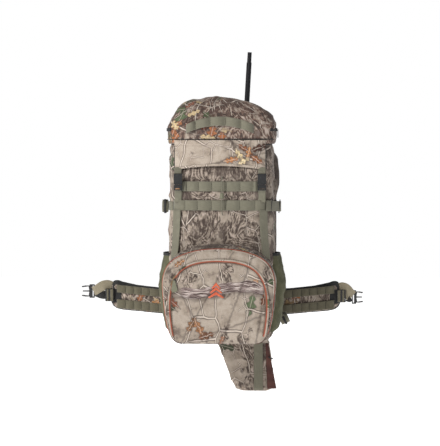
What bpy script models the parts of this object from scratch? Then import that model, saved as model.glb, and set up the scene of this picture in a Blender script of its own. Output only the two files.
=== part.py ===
"""Hunting backpack with a rifle sleeve: an assembly of separate closed solids, in metres, +Z up.

The pack's outer face looks along -Y and the wearer's back is on the +Y side. The origin is the
centre of the lumbar pad's flat contact face, so everything else lies at negative Y or hangs round it.
"""
from math import cos, pi, radians, sin, sqrt

import bmesh
import bpy
from mathutils import Vector

# ---------------------------------------------------------------- driving dimensions
GAP = 0.0004                # clearance between neighbouring solids
SQUARENESS = 4.0            # exponent of the bag's rounded-square cross-section
WEB_THICK = 0.0018          # thickness of flat webbing

BAG_CENTRE_Y = -0.1675
BAG_STATIONS = (            # height, half width, half depth
    (-0.113, 0.118, 0.056), (-0.108, 0.132, 0.069), (-0.096, 0.142, 0.0775), (-0.070, 0.148, 0.082),
    (0.000, 0.1495, 0.0825), (0.130, 0.1495, 0.0825), (0.300, 0.1485, 0.0820), (0.390, 0.1465, 0.0805),
    (0.4600, 0.1440, 0.0780))
BAG_WALL = 0.004

LID_BASE_Z = 0.4620
LID_BACK_Y = -0.083
LID_STATIONS = (            # height, half width, front y, back y
    (0.4620, 0.1520, -0.2530, -0.0850), (0.4740, 0.1555, -0.2565, -0.0850),
    (0.5000, 0.1560, -0.2565, -0.0930), (0.5250, 0.1525, -0.2540, -0.1080),
    (0.5450, 0.1460, -0.2490, -0.1260), (0.5620, 0.1350, -0.2410, -0.1430),
    (0.5760, 0.1150, -0.2290, -0.1570), (0.5860, 0.0880, -0.2150, -0.1690),
    (0.5920, 0.0500, -0.2020, -0.1800))
FLAP_HEM_Z = 0.397
FLAP_HALF_WIDTH = 0.1305
FLAP_THICK = 0.0025

POCKET_BASE_Z = -0.1060
POCKET_HALF_OUTLINE = (     # the front pocket's right half from its foot to the top of its crown: x, z
    (0.1040, -0.1060), (0.1190, -0.1020), (0.1300, -0.0920), (0.1380, -0.0750), (0.1455, -0.0480),
    (0.1510, -0.0150), (0.1550, 0.0200), (0.1575, 0.0520), (0.1560, 0.0800), (0.1470, 0.1070),
    (0.1290, 0.1280), (0.1020, 0.1430), (0.0700, 0.1530), (0.0360, 0.1585), (0.0000, 0.1600))
ZIP_HALF_OUTLINE = (        # the door's zip, right half from its lower end to its crown: x, z
    (0.1285, -0.0850), (0.1330, -0.0620), (0.1375, -0.0200), (0.1375, 0.0200), (0.1330, 0.0520),
    (0.1230, 0.0780), (0.1060, 0.1000), (0.0800, 0.1160), (0.0420, 0.1255), (0.0000, 0.1280))
POCKET_FRONT_Y = -0.3100
POCKET_WALL = 0.0032
DOOR_THICK = 0.0075

SIDE_POCKET_WALL = 0.0025

BUCKLE_X = 0.1200
WING_ROOT_X = 0.1420
WING_END_X = 0.3450
WING_FRONT_Y = -0.0280
WING_BACK_Y = -0.0080

ROD_FOOT = (0.0340, -0.0505, 0.0300)
ROD_TIP = (0.0735, -0.0505, 0.7280)

BUTT_HINGE = (0.0, -0.0840, -0.1190)
BUTT_FLOOR_Z = -0.2580

COLOURS = {                 # name: (red, green, blue), roughness, metallic
    "camo": ((0.36, 0.29, 0.22), 0.90, 0.0), "foam": ((0.03, 0.03, 0.03), 0.95, 0.0),
    "webbing": ((0.25, 0.25, 0.16), 0.85, 0.0), "stretch": ((0.12, 0.13, 0.07), 0.90, 0.0),
    "zip_orange": ((0.62, 0.13, 0.06), 0.60, 0.0), "black_plastic": ((0.02, 0.02, 0.02), 0.45, 0.0),
    "tan_webbing": ((0.45, 0.33, 0.20), 0.85, 0.0), "steel_rod": ((0.02, 0.02, 0.02), 0.30, 0.8),
    "frame_plastic": ((0.05, 0.05, 0.05), 0.50, 0.0), "stay_metal": ((0.70, 0.70, 0.72), 0.35, 1.0),
    "emblem": ((0.75, 0.15, 0.08), 0.80, 0.0), "belt_webbing": ((0.16, 0.15, 0.08), 0.88, 0.0)}


# ---------------------------------------------------------------- general helpers
def clear_scene():
    for item in list(bpy.data.objects):
        bpy.data.objects.remove(item, do_unlink=True)


def material(name):
    """The named finish as a Principled material, made once."""
    found = bpy.data.materials.get(name)
    if found:
        return found
    colour, roughness, metallic = COLOURS[name]
    made = bpy.data.materials.new(name)
    made.use_nodes = True
    shader = made.node_tree.nodes["Principled BSDF"]
    shader.inputs["Base Color"].default_value = (*colour, 1.0)
    shader.inputs["Roughness"].default_value = roughness
    shader.inputs["Metallic"].default_value = metallic
    return made


def pivot(name, place, parent=None):
    """An empty on a joint's axis, for the moving pieces to hang from."""
    empty = bpy.data.objects.new(name, None)
    bpy.context.collection.objects.link(empty)
    offset = parent.matrix_world.translation if parent else Vector()
    empty.location = Vector(place) - offset
    empty.parent = parent
    bpy.context.view_layer.update()
    return empty


def solid(name, points, faces, finish, parent=None, bevel=0.0, smooth=True, segments=1):
    """A closed mesh object from world points and faces, with its faces turned outwards."""
    mesh = bpy.data.meshes.new(name)
    origin = parent.matrix_world.translation if parent else Vector()
    mesh.from_pydata([tuple(Vector(p) - origin) for p in points], [], faces)
    work = bmesh.new()
    work.from_mesh(mesh)
    bmesh.ops.recalc_face_normals(work, faces=work.faces)
    work.to_mesh(mesh)
    work.free()
    made = bpy.data.objects.new(name, mesh)
    bpy.context.collection.objects.link(made)
    made.parent = parent
    mesh.materials.append(material(finish))
    if smooth:
        mesh.shade_smooth()
        mesh.set_sharp_from_angle(angle=radians(35))
    if bevel:
        rounding = made.modifiers.new("edge_rounding", "BEVEL")
        rounding.width = bevel
        rounding.segments = segments
        rounding.limit_method = "ANGLE"
        rounding.angle_limit = radians(40)
    return made


def loft(rings, closed_path=False):
    """Points and faces through equal rings of points, capped at both ends unless the path closes."""
    count = len(rings[0])
    points = [p for ring in rings for p in ring]
    faces = []
    last = len(rings) if closed_path else len(rings) - 1
    for row in range(last):
        here, there = row * count, ((row + 1) % len(rings)) * count
        for i in range(count):
            j = (i + 1) % count
            faces.append((here + i, here + j, there + j, there + i))
    if not closed_path:
        faces.append(tuple(range(count))[::-1])
        faces.append(tuple(range((len(rings) - 1) * count, len(rings) * count)))
    return points, faces


def block(name, low, high, finish, parent=None, bevel=0.001, segments=1):
    """A box between two corners with rounded edges."""
    rings = [[(x, y, z) for x, y in ((low[0], low[1]), (high[0], low[1]), (high[0], high[1]),
                                     (low[0], high[1]))] for z in (low[2], high[2])]
    return solid(name, *loft(rings), finish, parent, bevel, True, segments)


def plate(name, outline, y_front, y_back, finish, parent=None, bevel=0.0, segments=1):
    """An XZ outline extruded along Y."""
    rings = [[(x, y, z) for x, z in outline] for y in (y_front, y_back)]
    return solid(name, *loft(rings), finish, parent, bevel, True, segments)


def ribbon(name, path, width, thick, finish, parent=None, across=(1, 0, 0), bevel=0.0, closed=False):
    """A flat strap: a path of middle points, swept with its width along across."""
    widths = width if isinstance(width, (list, tuple)) else [width] * len(path)
    side = Vector(across).normalized()
    middle = [Vector(p) for p in path]
    rings = []
    for i, point in enumerate(middle):
        if closed:
            ahead = middle[(i + 1) % len(middle)] - middle[i - 1]
        else:
            ahead = middle[min(i + 1, len(middle) - 1)] - middle[max(i - 1, 0)]
        normal = side.cross(ahead).normalized() * thick / 2
        reach = side * widths[i] / 2
        rings.append([point - reach - normal, point + reach - normal,
                      point + reach + normal, point - reach + normal])
    return solid(name, *loft(rings, closed), finish, parent, bevel)


def tube(name, path, radius, finish, parent=None, resolution=2, closed=False):
    """A round cord or bar along a path."""
    curve = bpy.data.curves.new(name, "CURVE")
    curve.dimensions = "3D"
    curve.bevel_depth = radius
    curve.bevel_resolution = resolution
    curve.render_resolution_u = 0
    curve.use_fill_caps = True
    line = curve.splines.new("POLY")
    line.points.add(len(path) - 1)
    line.use_cyclic_u = closed
    origin = parent.matrix_world.translation if parent else Vector()
    for place, point in zip(line.points, path):
        place.co = (*(Vector(point) - origin), 1.0)
    made = bpy.data.objects.new(name, curve)
    bpy.context.collection.objects.link(made)
    made.parent = parent
    curve.materials.append(material(finish))
    return made


def between(stations, height):
    """Linear reading of a table of stations at a height."""
    if height <= stations[0][0]:
        return stations[0][1:]
    for low, high in zip(stations, stations[1:]):
        if height <= high[0]:
            t = (height - low[0]) / (high[0] - low[0])
            return tuple(a + (b - a) * t for a, b in zip(low[1:], high[1:]))
    return stations[-1][1:]


def rounded_square(half_x, half_y, centre_y, height, count=40, power=SQUARENESS):
    """A ring of points on a superellipse at one height."""
    ring = []
    for i in range(count):
        a = 2 * pi * i / count
        c, s = cos(a), sin(a)
        x = half_x * abs(c) ** (2 / power) * (1 if c >= 0 else -1)
        y = half_y * abs(s) ** (2 / power) * (1 if s >= 0 else -1)
        ring.append((x, centre_y + y, height))
    return ring


def bag_front(x, z):
    """The y of the main bag's front surface."""
    half_x, half_y = between(BAG_STATIONS, z)
    share = min(abs(x) / half_x, 1.0)
    return BAG_CENTRE_Y - half_y * (1 - share ** SQUARENESS) ** (1 / SQUARENESS)


def bag_side(y, z):
    """The distance of the main bag's side surface from the middle plane."""
    half_x, half_y = between(BAG_STATIONS, z)
    share = min(abs(y - BAG_CENTRE_Y) / half_y, 1.0)
    return half_x * (1 - share ** SQUARENESS) ** (1 / SQUARENESS)


def lid_front(x, z):
    """The y of the lid's front surface."""
    half_x, front, back = between(LID_STATIONS, z)
    share = min(abs(x) / half_x, 1.0)
    middle = (front + back) / 2
    return middle + (front - middle) * (1 - share ** SQUARENESS) ** (1 / SQUARENESS)


def smooth(points, pieces):
    """Catmull-Rom points through a short route."""
    ends = [Vector(points[0])] + [Vector(p) for p in points] + [Vector(points[-1])]
    fine = []
    for a, b, c, d in zip(ends, ends[1:], ends[2:], ends[3:]):
        for i in range(pieces):
            t = i / pieces
            fine.append((b * 2 + (c - a) * t + (a * 2 - b * 5 + c * 4 - d) * t * t
                         + (b * 3 - a - c * 3 + d) * t ** 3) / 2)
    return fine + [Vector(points[-1])]


def crowned(half, pieces):
    """An XZ path from a right half: up its right side, over the crown and down its left side."""
    right = [(p.x, p.z) for p in smooth([(x, 0.0, z) for x, z in half], pieces)]
    return right + [(-x, z) for x, z in right[-2::-1]]


def subdivided(outline, longest):
    """The outline with extra points so that no edge is longer than given."""
    dense = []
    for (x0, z0), (x1, z1) in zip(outline, outline[1:] + outline[:1]):
        pieces = max(1, int(sqrt((x1 - x0) ** 2 + (z1 - z0) ** 2) / longest + 0.999))
        dense += [(x0 + (x1 - x0) * i / pieces, z0 + (z1 - z0) * i / pieces) for i in range(pieces)]
    return dense


# ---------------------------------------------------------------- main bag, frame and sleeve
def make_bag():
    outer = [rounded_square(hx, hy, BAG_CENTRE_Y, z) for z, hx, hy in BAG_STATIONS]
    inner = [rounded_square(hx - BAG_WALL, hy - BAG_WALL, BAG_CENTRE_Y, max(z, -0.109 + BAG_WALL))
             for z, hx, hy in BAG_STATIONS[1:]]
    solid("bag_shell", *loft(outer + inner[::-1]), "camo")


def make_frame():
    block("frame_sheet", (-0.120, -0.0345, -0.090), (0.120, -0.0320, 0.400), "frame_plastic", None, 0.001)
    hoop = [(-0.080, -0.0365, -0.085), (-0.080, -0.0365, 0.360)]
    hoop += [(-0.055 - 0.025 * cos(a), -0.0365, 0.360 + 0.025 * sin(a))
             for a in (radians(30 * i) for i in (1, 2, 3))]
    hoop += [(-x, y, z) for x, y, z in reversed(hoop)]
    ribbon("frame_hoop", hoop, 0.0025, 0.012, "stay_metal", None, (0, 1, 0))


def make_sleeve():
    """A flat fabric tube, open at both ends, between the frame and the bag."""
    rings = []
    for half_x, half_y, z in ((0.130, 0.0220, -0.106), (0.130, 0.0220, 0.425),
                              (0.128, 0.0200, 0.425), (0.128, 0.0200, -0.106)):
        rings.append(rounded_square(half_x, half_y, -0.0612, z, 28, 7.0))
    solid("rifle_sleeve", *loft(rings, True), "camo")


def make_rod():
    """The bare barrel that stands in the sleeve, with its stepped muzzle."""
    foot, tip = Vector(ROD_FOOT), Vector(ROD_TIP)
    along = (tip - foot).normalized()
    length = (tip - foot).length
    profile = ((0.0, 0.0078), (length - 0.030, 0.0074), (length - 0.0295, 0.0062), (length, 0.0060))
    across = along.cross(Vector((0, 1, 0))).normalized()
    up = across.cross(along)
    rings = [[foot + along * s + (across * cos(a) + up * sin(a)) * r
              for a in (2 * pi * i / 16 for i in range(16))] for s, r in profile]
    solid("carried_rod", *loft(rings), "steel_rod", pivot("rod_seat", ROD_FOOT))


def make_back():
    block("lumbar_pad", (-0.105, -0.0310, -0.085), (0.105, 0.0, 0.065), "foam", None, 0.006, 2)
    block("yoke_panel", (-0.110, -0.0310, 0.350), (0.110, -0.0235, 0.425), "camo", None, 0.002)
    groove = [(-0.110, -0.0080), (-0.110, -0.0310), (0.110, -0.0310), (0.110, -0.0080), (0.014, -0.0080),
              (0.010, -0.0220), (-0.010, -0.0220), (-0.014, -0.0080)]
    rings = [[(x, y, z) for x, y in groove] for z in (0.085, 0.335)]
    solid("back_pad", *loft(rings), "foam", None, 0.004)
    hinge = pivot("handle_hinge", (0, -0.0215, 0.412))
    loop = [(x, -0.0215, z) for x, z in
            [(-0.035, 0.4128), (-0.035, 0.430)]
            + [(-0.023 - 0.012 * cos(a), 0.440 + 0.012 * sin(a)) for a in (radians(22 * i) for i in range(5))]
            + [(0.023 + 0.012 * sin(a), 0.440 + 0.012 * cos(a)) for a in (radians(22 * i) for i in range(5))]
            + [(0.035, 0.430), (0.035, 0.4128)]]
    ribbon("haul_handle", loop, 0.016, 0.003, "webbing", hinge, (0, 1, 0)).location.y += 0.0085


# ---------------------------------------------------------------- shoulder harness
def shoulder_route(side):
    """Middle points of a padded shoulder strap, from the yoke to its lower end."""
    knots = ((0.074, -0.0120, 0.396), (0.072, 0.0080, 0.405), (0.071, 0.0300, 0.398), (0.072, 0.0490, 0.372),
             (0.076, 0.0600, 0.330), (0.082, 0.0620, 0.280), (0.090, 0.0590, 0.225), (0.098, 0.0540, 0.170),
             (0.104, 0.0480, 0.120), (0.107, 0.0420, 0.080), (0.107, 0.0360, 0.045))
    return [(side * x, y, z) for x, y, z in knots]


def make_shoulder(side, label):
    hinge = pivot("shoulder_hinge_" + label, (side * 0.074, -0.0120, 0.396))
    widths = [0.052, 0.060, 0.064, 0.066, 0.068, 0.068, 0.064, 0.058, 0.052, 0.047, 0.040]
    ribbon("shoulder_strap_" + label, shoulder_route(side), widths, 0.013, "camo", hinge, (1, 0, 0), 0.003)
    web = [(side * 0.118, 0.0330, 0.040), (side * 0.120, 0.0200, 0.010), (side * 0.121, 0.0040, -0.025),
           (side * 0.122, -0.0140, -0.060), (side * 0.122, -0.0280, -0.082)]
    ribbon("shoulder_webbing_" + label, [(x, y, z - 0.010) for x, y, z in web], 0.020, 0.002, "webbing")
    perch = pivot("sternum_perch_" + label, (side * 0.082, 0.0720, 0.280), hinge)
    path = [(side * x, 0.0750, 0.280) for x in (0.094, 0.030)]
    ribbon("sternum_web_" + label, path, 0.020, 0.0016, "webbing", perch, (0, 0, 1))
    if side < 0:
        buckle_socket("sternum_socket", (-0.0165, 0.0750, 0.280), 0.0240, 0.0260, 0.0085, perch, (1, 0, 0))
    else:
        buckle_plug("sternum_plug", (0.0295, 0.0750, 0.280), 0.0240, 0.0260, 0.0040, perch, (-1, 0, 0))


def buckle_socket(name, centre, width, length, deep, parent, down=(0, 0, -1), finish="black_plastic"):
    """A side-release buckle's socket: a front plate, two cheeks and a bridge, open at the back and mouth.

    The mouth looks along down; the open back looks along +Y."""
    mouth = Vector(down)
    side = Vector((0, 1, 0)).cross(mouth)
    wall, bridge = 0.0028, 0.0060
    half, plate_y, back_y = width / 2, -deep / 2, deep / 2
    outline = ((-half, -length / 2), (half, -length / 2), (half, length / 2), (half - wall, length / 2),
               (half - wall, -length / 2 + bridge), (-half + wall, -length / 2 + bridge),
               (-half + wall, length / 2), (-half, length / 2))
    place = Vector(centre)
    rings = [[place + side * u + mouth * v + Vector((0, y, 0)) for u, v in outline]
             for y in (plate_y + 0.0020, back_y)]
    cheeks = solid(name, *loft(rings), finish, parent, 0.0, False)
    cover = [[place + side * u + mouth * v + Vector((0, y, 0)) for u, v in
              ((-half, -length / 2), (half, -length / 2), (half, length / 2), (-half, length / 2))]
             for y in (plate_y, plate_y + 0.0021)]
    front = solid(name + "_cover", *loft(cover), finish, parent, 0.0, False)
    join(cheeks, front)
    return cheeks


def buckle_plug(name, centre, width, length, deep, parent, tip=(0, 0, 1), finish="black_plastic"):
    """The buckle's plug: a slotted base with two sprung arms and a middle guide, pointing along tip."""
    ahead = Vector(tip)
    side = Vector((0, 1, 0)).cross(ahead)
    half, guide = width / 2, 0.0018
    arm = half - 0.0036
    base = length * 0.38
    outline = [(-half, 0), (half, 0), (half, base), (arm, base), (arm, length * 0.72),
               (arm - 0.0020, length), (arm - 0.0050, length * 0.93), (arm - 0.0026, base + 0.003),
               (guide, base + 0.001), (guide * 0.8, length * 0.90)]
    outline += [(-u, v) for u, v in reversed(outline[2:])]
    place = Vector(centre)
    rings = [[place + side * u + ahead * v + Vector((0, y, 0)) for u, v in outline]
             for y in (-deep / 2, deep / 2)]
    plug = solid(name, *loft(rings), finish, parent, 0.0, False)
    slot = [[place + side * u + ahead * v + Vector((0, y, 0)) for u, v in
             ((-half + 0.0035, 0.0030), (half - 0.0035, 0.0030), (half - 0.0035, 0.0062),
              (-half + 0.0035, 0.0062))] for y in (-deep, deep)]
    cut(plug, solid(name + "_slot", *loft(slot), finish, parent, 0.0, False))
    return plug


def boolean(target, tool, operation):
    tool.hide_render = True
    tool.display_type = "WIRE"
    step = target.modifiers.new(operation.lower(), "BOOLEAN")
    step.operation = operation
    step.object = tool


def cut(target, tool):
    boolean(target, tool, "DIFFERENCE")


def join(target, tool):
    boolean(target, tool, "UNION")


# ---------------------------------------------------------------- webbing on the bag
def wavy_band(name, surface, x_reach, z_middle, height, loops, bulge, finish, parent=None, bow=0.0):
    """A row of webbing loops that follows a surface and arches away from it between its stitches."""
    rings = []
    steps = loops * 6
    for i in range(steps + 1):
        x = -x_reach + 2 * x_reach * i / steps
        lift = bulge * sin(pi * (i % 6) / 6) if i % 6 else 0.0
        middle = z_middle - bow * (x / x_reach) ** 2
        low, high = middle - height / 2, middle + height / 2
        base = min(surface(x, low), surface(x, high)) - GAP - lift
        front = base - WEB_THICK
        rings.append([(x, front, low), (x, base, low), (x, base, high), (x, front, high)])
    return solid(name, *loft(rings), finish, parent)


def make_front_webbing():
    wavy_band("molle_row_upper", bag_front, 0.105, 0.338, 0.030, 6, 0.0030, "webbing")
    wavy_band("molle_row_lower", bag_front, 0.134, 0.284, 0.030, 7, 0.0030, "webbing")
    cord_y = bag_front(0, 0.3) - 0.0125
    tube("front_cord", [(0.006, cord_y, z) for z in (0.262, 0.285, 0.310, 0.335, 0.358)], 0.0013, "webbing")
    perch = pivot("toggle_perch", (0.006, cord_y, 0.311))
    toggle = [[(0.006 + r * cos(a), cord_y + r * sin(a), z) for a in (2 * pi * i / 12 for i in range(12))]
              for r, z in ((0.0044, 0.303), (0.0056, 0.305), (0.0056, 0.317), (0.0044, 0.319))]
    bored = solid("cord_toggle", *loft(toggle), "black_plastic", perch)
    bore = [[(0.006 + 0.0018 * cos(a), cord_y + 0.0018 * sin(a), z)
             for a in (2 * pi * i / 10 for i in range(10))]
            for z in (0.299, 0.323)]
    cut(bored, solid("toggle_bore", *loft(bore), "black_plastic", perch))


def side_band(name, side, z_low, z_high, y_front, y_back, finish, steps=12):
    """A strap round the side of the bag between two depths."""
    rings = []
    for i in range(steps + 1):
        y = y_front + (y_back - y_front) * i / steps
        ring = []
        for z, lift in ((z_low, 0), (z_high, 0), (z_high, WEB_THICK), (z_low, WEB_THICK)):
            ring.append((side * (bag_side(y, z) + 0.0010 + lift), y, z))
        rings.append(ring)
    return solid(name, *loft(rings), finish)


def make_side_straps():
    for side, label in ((-1, "left"), (1, "right")):
        side_band("side_strap_" + label, side, 0.269, 0.294, -0.222, -0.105, "webbing")
        rings = []
        for i in range(9):
            t = i / 8
            z = 0.264 - 0.112 * t
            middle = 0.1240 + 0.0040 * t * t
            xs = [middle - 0.0100 + 0.0200 * k / 6 for k in range(7)]
            under = [(side * x, bag_front(x, z) - 0.0012, z) for x in xs]
            over = [(x, y - WEB_THICK, z) for x, y, z in under]
            rings.append(under + over[::-1])
        solid("pocket_strap_" + label, *loft(rings), "webbing")
    rings = []
    for x in (-0.1530, -0.1705):
        rings.append([(x, -0.1960 + 0.0120 * cos(a), 0.2800 + 0.0185 * sin(a))
                      for a in (2 * pi * i / 16 for i in range(16))])
    solid("strap_roll_left", *loft(rings), "webbing", None, 0.0015)
    block("side_lock_right", (0.1530, -0.2060, 0.2640), (0.1585, -0.1700, 0.2990), "black_plastic", None,
          0.001)
    roll = block("lower_strap_roll", (-0.0130, -0.0150, -0.0175), (0.0130, 0.0150, 0.0175), "webbing", None,
                 0.003)
    roll.location = (0.1765, -0.0850, -0.0510)
    roll.rotation_euler = (0, radians(-25), 0)


# ---------------------------------------------------------------- lid, flap and their buckles
def make_lid():
    rings = []
    for z, half_x, front, back in LID_STATIONS:
        middle = (front + back) / 2
        rings.append(rounded_square(half_x, (back - front) / 2, middle, z))
    hinge = pivot("lid_hinge", (0, LID_BACK_Y, LID_BASE_Z))
    solid("lid_shell", *loft(rings), "camo", hinge)
    wavy_band("lid_handle_row", lambda x, z: lid_front(x, z) - 0.0030, 0.0960, 0.532, 0.026, 5, 0.0070,
              "webbing", hinge, 0.022)
    return hinge


def make_flap(lid_hinge):
    seam_z = LID_BASE_Z - 0.0020
    hinge = pivot("flap_hinge", (0, -0.2530, seam_z), lid_hinge)
    columns = 18
    rings = []
    for i in range(columns + 1):
        x = -FLAP_HALF_WIDTH + 2 * FLAP_HALF_WIDTH * i / columns
        hem = FLAP_HEM_Z - 0.012 * (x / FLAP_HALF_WIDTH) ** 2
        inner = lid_front(x, 0.474) + FLAP_THICK
        ring = []
        for y, z in ((inner, hem), (inner - FLAP_THICK, hem), (inner - FLAP_THICK, seam_z - 0.003),
                     (inner, seam_z - 0.003)):
            ring.append((x, y, z))
        rings.append(ring)
    solid("lid_flap", *loft(rings), "camo", hinge)
    for side, label in ((-1, "left"), (1, "right")):
        make_lid_buckle(side, label, hinge)


def make_lid_buckle(side, label, hinge):
    x = side * BUCKLE_X
    buckle_y = -0.2560
    buckle_socket("buckle_socket_" + label, (x, buckle_y, 0.3590), 0.0240, 0.0300, 0.0095, hinge)
    perch = pivot("buckle_perch_" + label, (x, buckle_y, 0.3300))
    buckle_plug("buckle_plug_" + label, (x, buckle_y + 0.0009, 0.3265), 0.0240, 0.0400, 0.0046, perch)
    strap_y = bag_front(BUCKLE_X - 0.0115, 0.31) - GAP - 0.0016
    ribbon("buckle_strap_" + label, [(x, strap_y, 0.3380), (x, strap_y, 0.3010)], 0.020, 0.0016, "webbing")


# ---------------------------------------------------------------- zip sliders and pulls
def zip_slider(prefix, seat, travel_axis, out, parent):
    """A slider body on its zip, with a pull tab that hangs on a hinge in front of it."""
    perch = pivot(prefix + "_seat", seat, parent)
    reach = Vector((0.0045, 0.0045, 0.0045))
    for k in range(3):
        if abs(travel_axis[k]) > 0.5:
            reach[k] = 0.0065
        if abs(out[k]) > 0.5:
            reach[k] = 0.0022
    low, high = Vector(seat) - reach, Vector(seat) + reach
    block(prefix + "_slider", low, high, "black_plastic", perch, 0.0006)
    return perch


def pull_tab(name, top, out, length, width, finish, parent, round_end=False):
    """A flat tab that hangs down from its hinge just in front of a slider."""
    hinge = pivot(name + "_hinge", top, parent)
    across = Vector((0, 0, 1)).cross(Vector(out))
    thick = 0.0018
    outline = [(-width / 2, 0.0), (-width / 2, -length), (width / 2, -length), (width / 2, 0.0)]
    if round_end:
        outline = [(-0.003, 0.0)] + [(width / 2 * -cos(a), -length + width / 2 - width / 2 * sin(a))
                                     for a in (pi * i / 8 for i in range(9))] + [(0.003, 0.0)]
    rings = [[Vector(top) + across * u + Vector((0, 0, v)) + Vector(out) * d for u, v in outline]
             for d in (-thick / 2, thick / 2)]
    return solid(name, *loft(rings), finish, hinge, 0.0, False)


def make_lid_slider(lid_hinge):
    half_x = between(LID_STATIONS, 0.500)[0]
    seat = (half_x + 0.0030, -0.195, 0.500)
    perch = zip_slider("lid_zip", seat, (0, 1, 0), (1, 0, 0), lid_hinge)
    pull_tab("lid_zip_pull", (seat[0] + 0.0038, seat[1], 0.501), (1, 0, 0), 0.024, 0.006, "black_plastic",
             perch)


# ---------------------------------------------------------------- front pocket
def outward(path):
    """Unit normals of an anticlockwise XZ path, pointing out of it."""
    normals = []
    for i in range(len(path)):
        (x0, z0), (x1, z1) = path[max(i - 1, 0)], path[min(i + 1, len(path) - 1)]
        length = sqrt((x1 - x0) ** 2 + (z1 - z0) ** 2)
        normals.append(((z1 - z0) / length, -(x1 - x0) / length))
    return normals


def edge_band(name, path, offset, thick, y_front, y_back, finish, parent=None):
    """A band standing on a path, as wide as the Y range."""
    rings = []
    for (x, z), (nx, nz) in zip(path, outward(path)):
        near, far = offset, offset + thick
        rings.append([(x + nx * d, y, z + nz * d) for d, y in
                      ((near, y_front), (far, y_front), (far, y_back), (near, y_back))])
    return solid(name, *loft(rings), finish, parent)


def make_front_pocket():
    path = crowned(POCKET_HALF_OUTLINE, 2)
    outer = subdivided(path, 0.009)
    half_width, top_z = max(x for x, _ in outer), max(z for _, z in outer)
    middle = (POCKET_BASE_Z + top_z) / 2
    scale_x = 1 - POCKET_WALL / half_width
    scale_z = 1 - POCKET_WALL / (top_z - middle)
    inner = [(x * scale_x, middle + (z - middle) * scale_z) for x, z in outer]

    def back(x, z):
        return min(bag_front(x, z) - 0.0012, -0.2220)

    rings = [[(x, back(x, z), z) for x, z in outer], [(x, POCKET_FRONT_Y, z) for x, z in outer],
             [(x, POCKET_FRONT_Y, z) for x, z in inner], [(x, back(x, z), z) for x, z in inner]]
    solid("pocket_gusset", *loft(rings, True), "camo")
    edge_band("pocket_zip", path, GAP, 0.0014, POCKET_FRONT_Y + 0.001, POCKET_FRONT_Y + 0.009, "zip_orange")


def make_door():
    hinge_y = POCKET_FRONT_Y - GAP
    hinge = pivot("door_hinge", (0, hinge_y, POCKET_BASE_Z))
    outline = subdivided(crowned(POCKET_HALF_OUTLINE, 2), 0.030)
    face_y = hinge_y - DOOR_THICK
    plate("pocket_door", outline, face_y, hinge_y, "camo", hinge, 0.003)
    path = crowned(ZIP_HALF_OUTLINE, 2)
    rings = []
    for (x, z), (nx, nz) in zip(path, outward(path)):
        rings.append([(x + nx * d, y, z + nz * d) for d, y in
                      ((-0.004, face_y - GAP), (0.004, face_y - GAP), (0.004, face_y - GAP - 0.0012),
                       (-0.004, face_y - GAP - 0.0012))])
    solid("door_zip", *loft(rings), "zip_orange", hinge)
    badge = [(-0.006 + 0.026 * cos(a), 0.041 + 0.024 * sin(a)) for a in (2 * pi * i / 24 for i in range(24))]
    plate("emblem", badge, face_y - GAP - 0.0012, face_y - GAP, "emblem", hinge)
    seat = (-0.1247, face_y - 0.0042, 0.074)
    perch = zip_slider("door_zip", seat, (0, 0, 1), (0, -1, 0), hinge)
    pull_tab("door_zip_pull", (seat[0], seat[1] - 0.0036, 0.073), (0, -1, 0), 0.034, 0.018, "webbing",
             perch, True)


# ---------------------------------------------------------------- side pockets
SIDE_POCKET_STATIONS = (    # height, bulge out from the bag's side
    (-0.0850, 0.0060), (-0.0780, 0.0120), (-0.0500, 0.0200), (0.0000, 0.0265), (0.0400, 0.0285),
    (0.0900, 0.0220), (0.1300, 0.0150), (0.1450, 0.0130))


def make_side_pocket(side, label):
    front_y, back_y, steps, wall = -0.2130, -0.1080, 14, SIDE_POCKET_WALL
    floor_z = SIDE_POCKET_STATIONS[1][0]
    levels = [(z, bulge, z > floor_z) for z, bulge in SIDE_POCKET_STATIONS]
    levels.insert(2, (floor_z + 0.002, SIDE_POCKET_STATIONS[1][1] + 0.0005, True))
    rings = []
    for z, bulge, hollow in levels:
        outer, inner = [], []
        for i in range(steps + 1):
            t = i / steps
            shape = sin(pi * t) ** 0.5 if 0 < i < steps else 0.0
            y = front_y + (back_y - front_y) * t
            outer.append((side * (bag_side(y, z) + 0.0012 + bulge * shape), y, z))
            y = front_y + wall + (back_y - front_y - 2 * wall) * t
            depth = max(bulge * shape - wall, 0.0) if hollow else 0.0
            inner.append((side * (bag_side(y, z) + 0.0012 + depth), y, z))
        rings.append(outer + inner[::-1])
    solid("side_pocket_" + label, *loft(rings), "stretch")


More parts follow.
